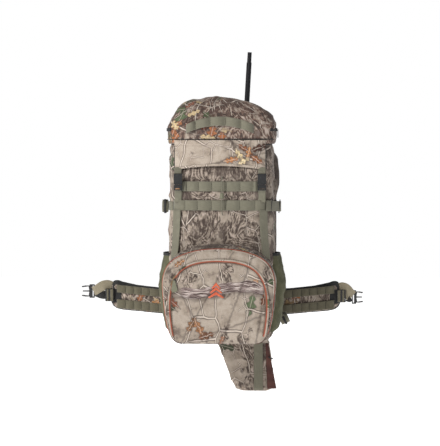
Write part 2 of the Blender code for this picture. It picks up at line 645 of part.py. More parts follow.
# ---------------------------------------------------------------- hip belt
def make_wing(side, label):
    hinge = pivot("wing_hinge_" + label, (side * WING_ROOT_X, -0.004, 0.0))
    top = ((WING_ROOT_X, 0.034), (0.200, 0.038), (0.262, 0.045), (0.300, 0.053), (0.322, 0.058),
           (0.336, 0.055), (0.3440, 0.043), (WING_END_X, 0.020), (0.3440, -0.008), (0.338, -0.022),
           (0.326, -0.032), (0.306, -0.037), (0.262, -0.041), (0.200, -0.047), (WING_ROOT_X, -0.048))
    outline = [(side * x, z) for x, z in top]
    plate("hip_wing_" + label, outline, WING_FRONT_Y, WING_BACK_Y, "foam", hinge, 0.004, 2)

    low, high = sorted((side * 0.1900, side * 0.3200))
    block("wing_webbing_" + label, (low, WING_FRONT_Y - 0.0030, -0.0360), (high, WING_FRONT_Y - GAP, 0.0360),
          "belt_webbing", hinge, 0.0008)
    lock_low, lock_high = sorted((side * 0.3300, side * 0.3560))
    lock = block("belt_lock_" + label, (lock_low, -0.0360, -0.0070), (lock_high, -0.0292, 0.0300),
                 "black_plastic", hinge, 0.0010)
    for slot_x in (0.3365, 0.3475):
        low, high = sorted((side * slot_x, side * (slot_x + 0.0042)))
        cut(lock, block("belt_slot", (low, -0.0400, -0.0020), (high, -0.0250, 0.0250), "black_plastic",
                        hinge, 0))
    bar_x, bar_z, reach, loop = ((0.374, 0.008, 0.0330, ((0.3490, 0.041), (0.3590, 0.042), (0.3665, 0.031),
                                                       (0.3690, 0.010))) if side > 0 else
                                 (0.390, 0.022, 0.0390, ((0.3490, 0.041), (0.3640, 0.047), (0.3780, 0.042),
                                                       (0.3850, 0.022))))
    path = smooth([(side * x, -0.0180, z) for x, z in loop], 4)
    ribbon("belt_strap_" + label, path, 0.0200, 0.0020, "tan_webbing", hinge, (0, 1, 0))
    perch = pivot("belt_buckle_hinge_" + label, (side * (bar_x + 0.002), -0.0180, bar_z), hinge)
    buckle_plug("belt_buckle_" + label, (side * bar_x, -0.0180, bar_z), 0.0400, reach, 0.0080, perch,
                (side, 0, 0))


# ---------------------------------------------------------------- butt pocket
BUTT_STATIONS = (           # height, left x, right x
    (-0.2640, 0.0480, 0.1300), (-0.2590, 0.0330, 0.1410), (-0.2250, 0.0170, 0.1420),
    (-0.1885, 0.0065, 0.1390), (-0.1510, -0.0105, 0.1345), (-0.1220, -0.0250, 0.1330))


def make_butt_pocket():
    hinge = pivot("butt_hinge", BUTT_HINGE)

    def ring(z, left, right, inset):
        half_x, half_y = (right - left) / 2 - inset, 0.0235 - inset
        return [(x + (left + right) / 2, y, z) for x, y, _ in
                rounded_square(half_x, half_y, BUTT_HINGE[1] + 0.0240, z, 28, 7.0)]

    outer = [ring(z, left, right, 0.0) for z, left, right in BUTT_STATIONS]
    inner = [ring(max(z, BUTT_FLOOR_Z), left, right, 0.003) for z, left, right in BUTT_STATIONS[1:]]
    solid("butt_pocket", *loft(outer + inner[::-1]), "camo", hinge)
    front_y = BUTT_HINGE[1] + 0.0005 - GAP
    block("butt_webbing", (0.0880, front_y - WEB_THICK, -0.2500), (0.1145, front_y, -0.1240), "webbing",
          hinge, 0.0005)


def main():
    clear_scene()
    make_bag()
    make_frame()
    make_sleeve()
    make_rod()
    make_back()
    make_front_webbing()
    make_side_straps()
    lid_hinge = make_lid()
    make_flap(lid_hinge)
    make_lid_slider(lid_hinge)
    make_front_pocket()
    make_door()
    for side, label in ((-1, "left"), (1, "right")):
        make_shoulder(side, label)
        make_side_pocket(side, label)
        make_wing(side, label)
    make_butt_pocket()


main()
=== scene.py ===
"""Looks of the hunting backpack: fabric, webbing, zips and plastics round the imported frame, in metres."""
from math import cos, exp, pi, radians, sin, sqrt

import bmesh
import bpy
from mathutils import Matrix, Vector, noise


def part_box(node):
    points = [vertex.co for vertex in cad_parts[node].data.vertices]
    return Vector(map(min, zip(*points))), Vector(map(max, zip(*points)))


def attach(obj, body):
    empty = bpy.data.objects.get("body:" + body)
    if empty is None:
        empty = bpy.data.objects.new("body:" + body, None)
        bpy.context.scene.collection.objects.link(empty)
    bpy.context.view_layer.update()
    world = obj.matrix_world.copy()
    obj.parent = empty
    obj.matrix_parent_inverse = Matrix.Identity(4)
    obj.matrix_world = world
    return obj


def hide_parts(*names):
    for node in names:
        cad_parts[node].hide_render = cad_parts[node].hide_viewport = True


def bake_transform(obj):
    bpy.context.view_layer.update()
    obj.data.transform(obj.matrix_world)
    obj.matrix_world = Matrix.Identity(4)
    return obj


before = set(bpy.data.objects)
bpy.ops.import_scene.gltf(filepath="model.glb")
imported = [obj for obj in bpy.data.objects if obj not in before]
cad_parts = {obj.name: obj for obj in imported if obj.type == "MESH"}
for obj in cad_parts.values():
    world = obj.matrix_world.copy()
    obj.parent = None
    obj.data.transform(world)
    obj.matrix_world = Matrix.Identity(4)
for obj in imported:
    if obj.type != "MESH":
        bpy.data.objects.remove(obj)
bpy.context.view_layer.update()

# ---------------------------------------------------------------- shapes shared with the frame
SQUARENESS = 4.0            # the power of the bag's and the lid's rounded outlines
SIDES = ((-1, "left"), (1, "right"))
BAG_CENTRE_Y = -0.1675
BAG_STATIONS = (            # height, half width, half depth
    (-0.113, 0.118, 0.056), (-0.108, 0.132, 0.069), (-0.096, 0.142, 0.0775), (-0.070, 0.148, 0.082),
    (0.000, 0.1495, 0.0825), (0.130, 0.1495, 0.0825), (0.300, 0.1485, 0.0820), (0.390, 0.1465, 0.0805),
    (0.4600, 0.1440, 0.0780))
LID_STATIONS = (            # height, half width, front y, back y
    (0.4620, 0.1520, -0.2530, -0.0850), (0.4740, 0.1555, -0.2565, -0.0850),
    (0.5000, 0.1560, -0.2565, -0.0930), (0.5250, 0.1525, -0.2540, -0.1080),
    (0.5450, 0.1460, -0.2490, -0.1260), (0.5620, 0.1350, -0.2410, -0.1430),
    (0.5760, 0.1150, -0.2290, -0.1570), (0.5860, 0.0880, -0.2150, -0.1690),
    (0.5920, 0.0500, -0.2020, -0.1800))


def between(stations, height):
    """Values from a table of stations at a height, along straight lines between them."""
    if height <= stations[0][0]:
        return stations[0][1:]
    for low, high in zip(stations, stations[1:]):
        if height <= high[0]:
            t = (height - low[0]) / (high[0] - low[0])
            return tuple(a + (b - a) * t for a, b in zip(low[1:], high[1:]))
    return stations[-1][1:]


def fall_off(share):
    return (1 - min(abs(share), 1.0) ** SQUARENESS) ** (1 / SQUARENESS)


def bag_front(x, z):
    half_x, half_y = between(BAG_STATIONS, z)
    return BAG_CENTRE_Y - half_y * fall_off(x / half_x)


def bag_side(y, z):
    half_x, half_y = between(BAG_STATIONS, z)
    return half_x * fall_off((y - BAG_CENTRE_Y) / half_y)


def lid_front(x, z):
    half_x, front, back = between(LID_STATIONS, z)
    middle = (front + back) / 2
    return middle + (front - middle) * fall_off(x / half_x)


# ---------------------------------------------------------------- camera, light and stage
PHOTO_WIDTH_M = 1.276       # the picture's width at the pack's front
LENS, SENSOR = 180.0, 36.0
AZIMUTH, ELEVATION = radians(4.0), radians(2.0)
TARGET = Vector((-0.0070, -0.1500, 0.2300))
FLOOR_Z, FLOOR_REACH = -0.30, 6.0
FLOOR_GLOW, WORLD_GLOW = 0.80, 0.22


def make_camera():
    data = bpy.data.cameras.new("camera")
    data.lens, data.sensor_width = LENS, SENSOR
    data.clip_end = 60
    data.sensor_fit = "HORIZONTAL"
    camera = bpy.data.objects.new("camera", data)
    bpy.context.collection.objects.link(camera)
    distance = PHOTO_WIDTH_M * LENS / SENSOR
    ahead = Vector((-sin(AZIMUTH) * cos(ELEVATION), cos(AZIMUTH) * cos(ELEVATION), -sin(ELEVATION)))
    camera.location = TARGET - ahead * distance
    camera.rotation_euler = ahead.to_track_quat("-Z", "Y").to_euler()
    bpy.context.scene.camera = camera


def make_light(name, place, aim, size, power, colour=(1, 1, 1)):
    data = bpy.data.lights.new(name, "AREA")
    data.size, data.energy, data.color = size, power, colour
    lamp = bpy.data.objects.new(name, data)
    bpy.context.collection.objects.link(lamp)
    lamp.location = place
    lamp.rotation_euler = (Vector(aim) - Vector(place)).to_track_quat("-Z", "Y").to_euler()


def make_stage():
    mesh = bpy.data.meshes.new("floor")
    corners = [(x * FLOOR_REACH, y * FLOOR_REACH, FLOOR_Z) for x, y in ((-1, -1), (1, -1), (1, 1), (-1, 1))]
    mesh.from_pydata(corners, [], [(0, 1, 2, 3)])
    floor = bpy.data.objects.new("floor", mesh)
    bpy.context.collection.objects.link(floor)
    look = bpy.data.materials.new("pale_floor")
    look.use_nodes = True
    surface = look.node_tree.nodes["Principled BSDF"]
    surface.inputs["Base Color"].default_value = (0.93, 0.93, 0.93, 1)
    surface.inputs["Roughness"].default_value = 0.9
    surface.inputs["Emission Color"].default_value = (1, 1, 1, 1)
    surface.inputs["Emission Strength"].default_value = FLOOR_GLOW
    mesh.materials.append(look)
    world = bpy.data.worlds.new("studio")
    bpy.context.scene.world = world
    world.use_nodes = True
    tree = world.node_tree
    soft = tree.nodes["Background"]
    soft.inputs["Color"].default_value = (1.0, 1.0, 1.0, 1)
    soft.inputs["Strength"].default_value = WORLD_GLOW
    seen = tree.nodes.new("ShaderNodeBackground")
    seen.inputs["Color"].default_value = (1.0, 1.0, 1.0, 1)
    blend = tree.nodes.new("ShaderNodeMixShader")
    tree.links.new(tree.nodes.new("ShaderNodeLightPath").outputs["Is Camera Ray"], blend.inputs[0])
    tree.links.new(soft.outputs[0], blend.inputs[1])
    tree.links.new(seen.outputs[0], blend.inputs[2])
    tree.links.new(blend.outputs[0], tree.nodes["World Output"].inputs["Surface"])
    make_light("key", (-2.7, -3.2, 2.3), (0, -0.1, 0.2), 0.9, 165, (1.0, 0.985, 0.96))
    make_light("fill", (2.6, -2.6, 1.0), (0, -0.1, 0.2), 2.5, 3)
    make_light("rear", (0.5, 3.0, 2.0), (0, 0, 0.2), 2.0, 50)
    bpy.context.scene.view_settings.view_transform = "Standard"


# ---------------------------------------------------------------- node graphs
class Graph:
    """Short calls that build one material's nodes; p is the fabric coordinate in metres."""

    def __init__(self, name, roughness=0.9, metallic=0.0, sheen=0.0):
        self.material = bpy.data.materials.new(name)
        self.material.use_nodes = True
        self.tree = self.material.node_tree
        self.shader = self.tree.nodes["Principled BSDF"]
        self.shader.inputs["Roughness"].default_value = roughness
        self.shader.inputs["Metallic"].default_value = metallic
        if sheen:
            self.shader.inputs["Sheen Weight"].default_value = sheen
            self.shader.inputs["Sheen Roughness"].default_value = 0.5

    def put(self, socket, value):
        if isinstance(value, bpy.types.NodeSocket):
            self.tree.links.new(value, socket)
        elif value is not None:
            socket.default_value = value

    def node(self, kind, inputs=None, **settings):
        made = self.tree.nodes.new(kind)
        for key, value in settings.items():
            setattr(made, key, value)
        for key, value in (inputs or {}).items():
            self.put(made.inputs[key], value)
        return made

    def fabric(self):
        return self.node("ShaderNodeUVMap", uv_map="fabric").outputs[0]

    def place(self):
        return self.node("ShaderNodeTexCoord").outputs["Object"]

    def math(self, operation, a, b=None, clamp=False):
        made = self.node("ShaderNodeMath", operation=operation, use_clamp=clamp)
        for socket, value in zip(made.inputs, (a, b)):
            self.put(socket, value)
        return made.outputs[0]

    def times(self, a, b):
        return self.math("MULTIPLY", a, b)

    def plus(self, a, b):
        return self.math("ADD", a, b)

    def minus(self, a, b, clamp=False):
        return self.math("SUBTRACT", a, b, clamp)

    def sine(self, a):
        return self.math("SINE", a)

    def size(self, a):
        return self.math("ABSOLUTE", a)

    def vector(self, operation, a, b=None, scale=None):
        made = self.node("ShaderNodeVectorMath", operation=operation)
        self.put(made.inputs[0], a)
        self.put(made.inputs[1], b)
        if scale is not None:
            self.put(made.inputs["Scale"], scale)
        return made.outputs[0]

    def stretch(self, p, x, y, z=1.0):
        return self.vector("MULTIPLY", p, (x, y, z))

    def noise(self, p, scale, detail=2.0, roughness=0.5, distortion=0.0):
        made = self.node("ShaderNodeTexNoise", {"Vector": p, "Scale": scale, "Detail": detail,
                                               "Roughness": roughness, "Distortion": distortion})
        return made.outputs["Fac"], made.outputs["Color"]

    def wander(self, p, scale, detail, reach):
        """A noise that moves a coordinate about by up to half of reach."""
        centred = self.vector("SUBTRACT", self.noise(p, scale, detail)[1], (0.5, 0.5, 0.5))
        return self.vector("SCALE", centred, scale=reach)

    def step(self, value, low, high, flip=False):
        """0 below low and 1 above high, smooth between."""
        made = self.node("ShaderNodeMapRange", {"Value": value, "From Min": low, "From Max": high},
                         interpolation_type="SMOOTHSTEP")
        if flip:
            made.inputs["To Min"].default_value, made.inputs["To Max"].default_value = 1.0, 0.0
        return made.outputs[0]

    def mix(self, factor, a, b):
        made = self.node("ShaderNodeMix", data_type="RGBA")
        self.put(made.inputs[0], factor)
        for socket, value in ((made.inputs[6], a), (made.inputs[7], b)):
            self.put(socket, (*value, 1.0) if isinstance(value, tuple) and len(value) == 3 else value)
        return made.outputs[2]

    def ramp(self, value, stops, constant=False):
        made = self.node("ShaderNodeValToRGB", {"Fac": value})
        ramp = made.color_ramp
        ramp.interpolation = "CONSTANT" if constant else "LINEAR"
        while len(ramp.elements) < len(stops):
            ramp.elements.new(0.5)
        for element, (position, colour) in zip(ramp.elements, stops):
            element.position = position
            element.color = (*colour, 1.0)
        return made.outputs[0]

    def split(self, vector):
        return self.node("ShaderNodeSeparateXYZ", {"Vector": vector}).outputs

    def bump(self, height, strength, distance):
        made = self.node("ShaderNodeBump", {"Height": height, "Strength": strength, "Distance": distance})
        self.tree.links.new(made.outputs[0], self.shader.inputs["Normal"])

    def colour(self, value):
        self.put(self.shader.inputs["Base Color"], value)


# ---------------------------------------------------------------- materials
TAUPE = (0.37, 0.305, 0.245)
TAUPE_PALE = (0.49, 0.415, 0.345)
TAUPE_DARK = (0.17, 0.130, 0.105)
BROWN = (0.050, 0.032, 0.027)
BARK_PALE = (0.57, 0.465, 0.405)
RED_BARK = (0.165, 0.085, 0.065)
TWIG = (0.80, 0.715, 0.61)
# the black that depth mixes into the print: a darker dye tone, and painted shade on the right side panel
DYE_AND_PAINTED_SHADE_BLACK = (0.010, 0.008, 0.006)
LEAF_SETS = {
    "warm": ((0.50, 0.17, 0.055), (0.62, 0.30, 0.12), (0.72, 0.55, 0.30), (0.26, 0.075, 0.035)),
    "mixed": ((0.40, 0.15, 0.06), (0.68, 0.52, 0.30), (0.17, 0.055, 0.03), (0.085, 0.125, 0.055)),
    "green": ((0.07, 0.115, 0.05), (0.13, 0.18, 0.09), (0.30, 0.20, 0.10), (0.05, 0.07, 0.035))}


def weave_height(g, p, pitch=0.0011):
    """A plain weave: two crossed sine ribs, as a height."""
    across = g.split(g.vector("SCALE", p, scale=2 * pi / pitch))
    return g.times(g.sine(across[0]), g.sine(across[1]))


def twig_lines(g, p, scale, width, mask_scale, cut):
    """Broken branching lines along the borders of warped cells: (line, its dark side)."""
    bent = g.vector("ADD", p, g.wander(p, scale * 0.9, 3.0, 0.36 / scale))
    cells = g.node("ShaderNodeTexVoronoi", {"Vector": g.stretch(bent, 1.25, 0.8), "Scale": scale,
                                            "Randomness": 1.0}, feature="DISTANCE_TO_EDGE",
                   voronoi_dimensions="2D")
    where = g.step(g.noise(p, mask_scale, 1.0)[0], cut, cut + 0.05)
    reach = cells.outputs["Distance"]
    core = g.times(g.step(reach, width * 0.6, width, True), where)
    side = g.times(g.step(reach, width * 1.3, width * 2.6, True), where)
    return core, side


def leaf_half(g, along, length, slim, lobes, full, swing):
    """A lobed leaf's half width at a distance along it."""
    run = g.math("DIVIDE", along, length)
    taper = g.minus(1.0, g.times(run, run), True)
    edge = g.plus(full, g.times(g.math("COSINE", g.times(run, lobes)), swing))
    return g.times(g.times(taper, edge), length * slim)


def leaf_layer(g, p, below, scale, shift, colours, share, cluster, lobes=13.0, slim=0.42):
    """Scattered turned leaves with a lobed edge and a middle vein, over the colours below."""
    moved = g.vector("ADD", p, (shift, shift * 0.7, 0.0))
    cells = g.node("ShaderNodeTexVoronoi", {"Vector": moved, "Scale": scale, "Randomness": 0.85},
                   feature="F1", voronoi_dimensions="2D")
    pick = g.node("ShaderNodeSeparateColor", {"Color": cells.outputs["Color"]}).outputs
    local = g.vector("SUBTRACT", moved, cells.outputs["Position"])
    turned = g.node("ShaderNodeVectorRotate", {"Vector": local, "Angle": g.times(pick[0], 6.283)},
                    rotation_type="Z_AXIS").outputs[0]
    along, across, _ = g.split(turned)
    length = 0.50 / scale
    half = leaf_half(g, along, length, slim, lobes, 0.72, 0.30)
    reach = g.size(across)
    inside = g.step(g.minus(half, reach), 0.0, 0.0012)
    present = g.step(pick[1], 1 - share, 1 - share + 0.01)
    crowd = g.step(g.noise(p, 5.5, 1.0)[0], cluster, cluster + 0.04)
    mask = g.times(g.times(inside, present), crowd)
    tint = g.ramp(pick[2], [(i / len(colours), c) for i, c in enumerate(colours)], True)
    mottle = g.noise(p, 190.0, 2.0)[0]
    tint = g.mix(g.step(mottle, 0.40, 0.62), g.mix(0.45, tint, BROWN), tint)
    vein = g.step(reach, 0.0005, 0.0011, True)
    tint = g.mix(g.times(vein, 0.6), tint, BARK_PALE)
    shade = g.step(g.minus(half, reach), -0.0040, 0.0005)
    under = g.times(g.times(shade, g.times(present, crowd)), 0.6)
    return g.mix(mask, g.mix(under, below, BROWN), tint)


def leaf_at(g, p, below, x, z, turn, length, colour, lobes=12.0, slim=0.36):
    """One printed leaf at a place: lobed, mottled, with a pale vein and a soft shadow round it."""
    local = g.vector("SUBTRACT", p, (x, z, 0.0))
    ragged = g.wander(p, 90.0, 2.0, 0.010)
    local = g.vector("ADD", local, ragged)
    turned = g.node("ShaderNodeVectorRotate", {"Vector": local, "Angle": radians(-turn)},
                    rotation_type="Z_AXIS").outputs[0]
    along, across, _ = g.split(turned)
    half = leaf_half(g, along, length, slim, lobes, 0.74, 0.28)
    gap = g.minus(half, g.size(across))
    deep = tuple(c * 0.35 for c in colour)
    tint = g.mix(g.step(g.noise(p, 130.0, 4.0, 0.7)[0], 0.38, 0.60), deep, colour)
    tint = g.mix(g.times(g.step(g.size(across), 0.0004, 0.0010, True), 0.5), tint, TWIG)
    below = g.mix(g.times(g.step(gap, -0.0060, 0.0010), 0.55), below, BROWN)
    return g.mix(g.step(gap, 0.0, 0.0014), below, tint)


def branch_at(g, p, below, level, wave, half, start, end):
    """A printed branch running across: streaky bark with a shaded lower side."""
    u, v, _ = g.split(p)
    middle = g.plus(level, g.times(g.sine(g.times(u, wave)), 0.011))
    middle = g.plus(middle, g.times(g.minus(g.noise(p, 22.0, 3.0)[0], 0.5), 0.022))
    off = g.minus(v, middle)
    inside = g.step(g.minus(half, g.size(off)), 0.0, 0.0020)
    inside = g.times(inside, g.times(g.step(u, start, start + 0.02),
                                               g.step(u, end, end + 0.02, True)))
    grain = g.node("ShaderNodeCombineXYZ", {"X": g.times(u, 28.0),
                                            "Y": g.times(off, 300.0)}).outputs[0]
    streak = g.noise(grain, 1.0, 4.0, 0.68, 0.5)[0]
    bark = g.ramp(streak, [(0.39, BROWN), (0.46, (0.16, 0.110, 0.105)), (0.53, (0.38, 0.295, 0.275)),
                           (0.62, (0.74, 0.66, 0.60))])
    bark = g.mix(g.times(g.step(off, -half, -half * 0.2, True), 0.55), bark, BROWN)
    shade = g.times(g.step(off, -half * 1.7, -half, False), g.step(off, -half, half * 0.2, True))
    below = g.mix(g.times(shade, 0.5), below, BROWN)
    return g.mix(inside, below, bark)


def camo(name, plain=0.50, dark=0.56, warm=0.56, leaves="mixed", share=0.7, twigs=0.50, fine=0.50, shift=0.0,
         tint=TAUPE_DARK, extra=None, depth=0.0):
    """Printed woodland cloth. A lower plain gives more bark; a lower dark, twigs or warm gives more of each.

    extra adds pictures of its own at places on the cloth, and depth darkens the whole print towards black: a
    darker print tone on most pieces, and painted shade on the right side panel's material.
    """
    g = Graph(name, 0.88, 0.0, 0.04)
    cloth = g.fabric()
    p = g.vector("ADD", cloth, (shift, shift * 1.7, 0.0))
    tone = g.noise(p, 24.0, 5.0, 0.62)[0]
    base = g.ramp(tone, [(0.30, TAUPE_DARK), (0.42, TAUPE), (0.58, TAUPE_PALE), (0.75, TAUPE)])
    whorl = g.noise(g.stretch(p, 1.2, 0.75), 11.0, 3.0, 0.55, 0.6)[0]
    grain = g.sine(g.times(whorl, 105.0))
    streaks = g.plus(g.noise(g.stretch(p, 62.0, 34.0), 1.0, 5.0, 0.68, 1.6)[0],
                     g.times(grain, 0.085))
    bark = g.ramp(streaks, [(0.40, BROWN), (0.48, tint), (0.58, TAUPE), (0.68, BARK_PALE)])
    zone = g.step(g.noise(g.stretch(p, 1.1, 0.8), 9.0, 4.0, 0.6)[0], plain, plain + 0.05)
    base = g.mix(g.times(zone, 0.94), base, bark)
    blotch = g.noise(g.stretch(p, 1.3, 0.8), 13.0, 5.0, 0.65)[0]
    base = g.mix(g.times(g.step(blotch, dark, dark + 0.07), 0.72), base, g.mix(0.3, BROWN, tint))
    base = leaf_layer(g, p, base, 15.0, 0.31, LEAF_SETS["green"], share * 0.45, 0.52, 9.0, 0.5)
    for scale, width, mask_scale, cut in ((12.0, 0.023, 6.0, twigs), (26.0, 0.026, 11.0, fine)):
        core, side = twig_lines(g, p, scale, width, mask_scale, cut)
        base = g.mix(g.times(side, 0.72), base, BROWN)
        base = g.mix(g.times(core, 0.95), base, g.mix(g.noise(p, 120.0)[0], TWIG, BARK_PALE))
    base = leaf_layer(g, p, base, 17.0, 0.77, LEAF_SETS[leaves], share, warm)
    base = leaf_layer(g, p, base, 24.0, 1.93, LEAF_SETS["warm"], share * 0.8, warm + 0.03, 11.0, 0.5)
    if extra:
        base = extra(g, cloth, base)
    fleck = g.noise(p, 420.0, 2.0)[0]
    base = g.mix(g.times(g.step(fleck, 0.52, 0.70), 0.22), base, BROWN)
    # depth darkens towards black: the print's tone, and on the right side panel painted shade
    g.colour(g.mix(depth, base, DYE_AND_PAINTED_SHADE_BLACK))
    g.bump(g.plus(g.times(weave_height(g, p), 0.5), g.noise(p, 60.0, 3.0)[0]), 0.35, 0.0006)
    return g.material


def flap_pictures(g, p, base):
    """Orange and cream leaves crowd the flap's right side."""
    for x, z, turn, length, colour in (
            (0.112, 0.448, 20, 0.030, (0.10, 0.045, 0.030)), (0.070, 0.446, 150, 0.026, (0.30, 0.11, 0.05)),
            (0.100, 0.418, -35, 0.030, (0.34, 0.13, 0.055)), (0.034, 0.414, 12, 0.026, (0.52, 0.22, 0.085)),
            (0.058, 0.424, -60, 0.028, (0.74, 0.58, 0.33)), (0.068, 0.410, 35, 0.024, (0.80, 0.64, 0.38)),
            (0.082, 0.436, 80, 0.022, (0.60, 0.27, 0.10))):
        base = leaf_at(g, p, base, x, z, turn, length, colour)
    return base


def door_pictures(g, p, base):
    """A pale branch crosses the door, with rusty leaves low on its left."""
    base = branch_at(g, p, base, 0.046, 24.0, 0.0165, -0.118, 0.122)
    for x, z, turn, length, colour in (
            (-0.076, -0.052, 60, 0.030, (0.30, 0.15, 0.075)),
            (-0.052, -0.066, 118, 0.036, (0.42, 0.20, 0.095)),
            (-0.034, -0.084, 20, 0.030, (0.20, 0.085, 0.045)),
            (0.010, -0.098, 70, 0.020, (0.34, 0.14, 0.07)),
            (0.128, 0.020, 80, 0.024, (0.20, 0.07, 0.035)),
            (-0.110, 0.122, 35, 0.022, (0.48, 0.22, 0.09))):
        base = leaf_at(g, p, base, x, z, turn, length, colour)
    return base


def webbing(name, colour, worn, rib=0.0021, roughness=0.85):
    """Ribbed strap: u runs along the strap, v across it, both in metres."""
    g = Graph(name, roughness, 0.0, 0.25)
    p = g.fabric()
    u, v, _ = g.split(p)
    ribs = g.sine(g.times(v, 2 * pi / rib))
    picks = g.sine(g.times(u, 2 * pi / 0.0013))
    tone = g.noise(g.stretch(p, 90.0, 400.0), 1.0, 3.0)[0]
    base = g.mix(tone, colour, worn)
    # painted shade: the troughs between the ribs are darkened towards near black
    base = g.mix(g.times(g.step(ribs, -0.9, 0.2, True), 0.45), base, (0.03, 0.03, 0.02))
    wear = g.noise(p, 45.0, 3.0)[0]
    base = g.mix(g.times(g.step(wear, 0.55, 0.75), 0.35), base, worn)
    g.colour(base)
    g.bump(g.plus(ribs, g.times(picks, 0.4)), 0.5, 0.0004)
    return g.material


def plain_cloth(name, colour, second, roughness=0.9, pitch=0.0016, bump=0.5, sheen=0.05):
    """Knit, mesh or lining: two tones and a fine weave."""
    g = Graph(name, roughness, 0.0, sheen)
    p = g.fabric()
    weave = weave_height(g, p, pitch)
    tone = g.noise(p, 30.0, 4.0)[0]
    base = g.mix(g.step(tone, 0.35, 0.7), colour, second)
    # painted highlight: the weave's raised cells are mixed towards the lighter second colour
    base = g.mix(g.times(g.step(weave, -0.5, 0.5), 0.35), base, second)
    g.colour(base)
    g.bump(weave, bump, 0.0005)
    return g.material


def plastic(name, colour, worn, roughness=0.42):
    """Moulded plastic with faint grain and rubbed lighter patches."""
    g = Graph(name, roughness)
    p = g.place()
    wear = g.noise(p, 160.0, 4.0, 0.7)[0]
    g.colour(g.mix(g.step(wear, 0.52, 0.78), colour, worn))
    g.bump(g.noise(p, 2200.0, 2.0)[0], 0.25, 0.0002)
    return g.material


def metal(name, colour, roughness, metallic=1.0):
    g = Graph(name, roughness, metallic)
    p = g.place()
    streak = g.noise(g.stretch(p, 900.0, 900.0, 14.0), 1.0, 3.0)[0]
    g.colour(g.mix(streak, colour, tuple(min(1.0, c * 1.5 + 0.01) for c in colour)))
    g.bump(streak, 0.15, 0.0002)
    return g.material


def zip_cloth(name, colour, dark):
    """Zip tape: teeth across its middle, u along the zip."""
    g = Graph(name, 0.55)
    u = g.split(g.fabric())[0]
    teeth = g.sine(g.times(u, 2 * pi / 0.0024))
    # painted shade: the gaps between the teeth take the dark colour, the raised teeth the bright one
    g.colour(g.mix(g.step(teeth, -0.4, 0.4), dark, colour))
    g.bump(teeth, 0.7, 0.0006)
    return g.material


MATERIALS = {}


def make_materials():
    m = MATERIALS
    m["bag"] = camo("camo_bag", plain=0.43, dark=0.52, warm=0.59, fine=0.56, depth=0.17)
    # painted shade: the right side panel's copy of the bag print, darkened (depth 0.52) for the shade on the
    # pack's right side
    m["side"] = camo("camo_side_painted_shade", plain=0.36, dark=0.47, warm=0.57, fine=0.55, shift=3.19, depth=0.52)
    m["lid"] = camo("camo_lid", plain=0.34, dark=0.48, warm=0.52, share=0.85, fine=0.52, shift=0.37,
                    tint=RED_BARK, depth=0.14)
    m["flap"] = camo("camo_flap", plain=0.60, dark=0.64, warm=0.72, twigs=0.36, fine=0.52, shift=0.83,
                     extra=flap_pictures, depth=0.06)
    m["door"] = camo("camo_door", plain=0.56, dark=0.61, warm=0.70, leaves="warm", twigs=0.34, fine=0.60,
                     shift=1.31, extra=door_pictures, depth=0.17)
    m["gusset"] = camo("camo_gusset", plain=0.38, dark=0.48, warm=0.54, leaves="warm", twigs=0.48,
                       shift=1.87, depth=0.28)
    m["butt"] = camo("camo_butt", plain=0.46, dark=0.55, warm=0.55, leaves="warm", shift=2.11, depth=0.18)
    m["back"] = camo("camo_back", plain=0.44, dark=0.52, warm=0.57, fine=0.54, shift=2.73, depth=0.15)
    m["webbing"] = webbing("olive_webbing", (0.150, 0.142, 0.098), (0.235, 0.222, 0.165))
    m["belt"] = webbing("belt_webbing", (0.098, 0.088, 0.052), (0.17, 0.15, 0.10))
    m["tan"] = webbing("tan_webbing", (0.235, 0.200, 0.130), (0.36, 0.31, 0.22))
    m["maroon"] = plain_cloth("maroon_cloth", (0.055, 0.018, 0.016), (0.12, 0.045, 0.035), 0.85, 0.0014,
                              0.6, 0.02)
    m["stretch"] = plain_cloth("stretch_knit", (0.062, 0.064, 0.032), (0.125, 0.122, 0.068), 0.95, 0.0022,
                               0.5, 0.03)
    m["tape"] = plain_cloth("zip_tape", (0.10, 0.055, 0.038), (0.20, 0.12, 0.085), 0.9, 0.0010, 0.5, 0.03)
    m["mesh"] = plain_cloth("air_mesh", (0.012, 0.012, 0.012), (0.045, 0.045, 0.042), 0.95, 0.0032, 0.9)
    m["binding"] = plain_cloth("black_binding", (0.010, 0.010, 0.010), (0.03, 0.03, 0.03), 0.85, 0.0014)
    m["orange"] = zip_cloth("zip_orange", (0.60, 0.115, 0.045), (0.24, 0.035, 0.015))
    m["thread"] = plain_cloth("emblem_thread", (0.72, 0.10, 0.04), (0.88, 0.22, 0.10), 0.6, 0.0009, 0.8)
    m["stitch"] = plain_cloth("stitching", (0.035, 0.034, 0.026), (0.07, 0.066, 0.05), 0.8, 0.0009)
    m["black"] = plastic("black_plastic", (0.010, 0.010, 0.011), (0.035, 0.035, 0.035))
    m["olive"] = plastic("olive_plastic", (0.15, 0.15, 0.10), (0.25, 0.25, 0.18))
    m["sheet"] = plastic("frame_plastic", (0.03, 0.03, 0.03), (0.08, 0.08, 0.08))
    m["alloy"] = metal("stay_alloy", (0.62, 0.62, 0.64), 0.35)
    m["rod"] = metal("rod_black", (0.022, 0.022, 0.025), 0.28, 0.75)


# ---------------------------------------------------------------- mesh building
def heading(path, i, closed=False):
    """The direction of a path as it passes its point i."""
    if closed:
        return path[(i + 1) % len(path)] - path[i - 1]
    return path[min(i + 1, len(path) - 1)] - path[max(i - 1, 0)]


def square_to(ahead):
    """The direction at right angles to a heading, in the XZ plane."""
    return Vector((ahead.z, 0, -ahead.x)).normalized()


def ring_out(ring, i, centre_y):
    """The outward direction at point i of a level ring."""
    along = heading(ring, i, True)
    out = Vector((along.y, -along.x, 0)).normalized()
    if out.dot(Vector((ring[i].x, ring[i].y - centre_y, 0))) < 0:
        out.negate()
    return out


def front_corners(points, faces):
    """Fabric coordinates as seen from the front."""
    return [tuple((points[k][0], points[k][2]) for k in face) for face in faces]


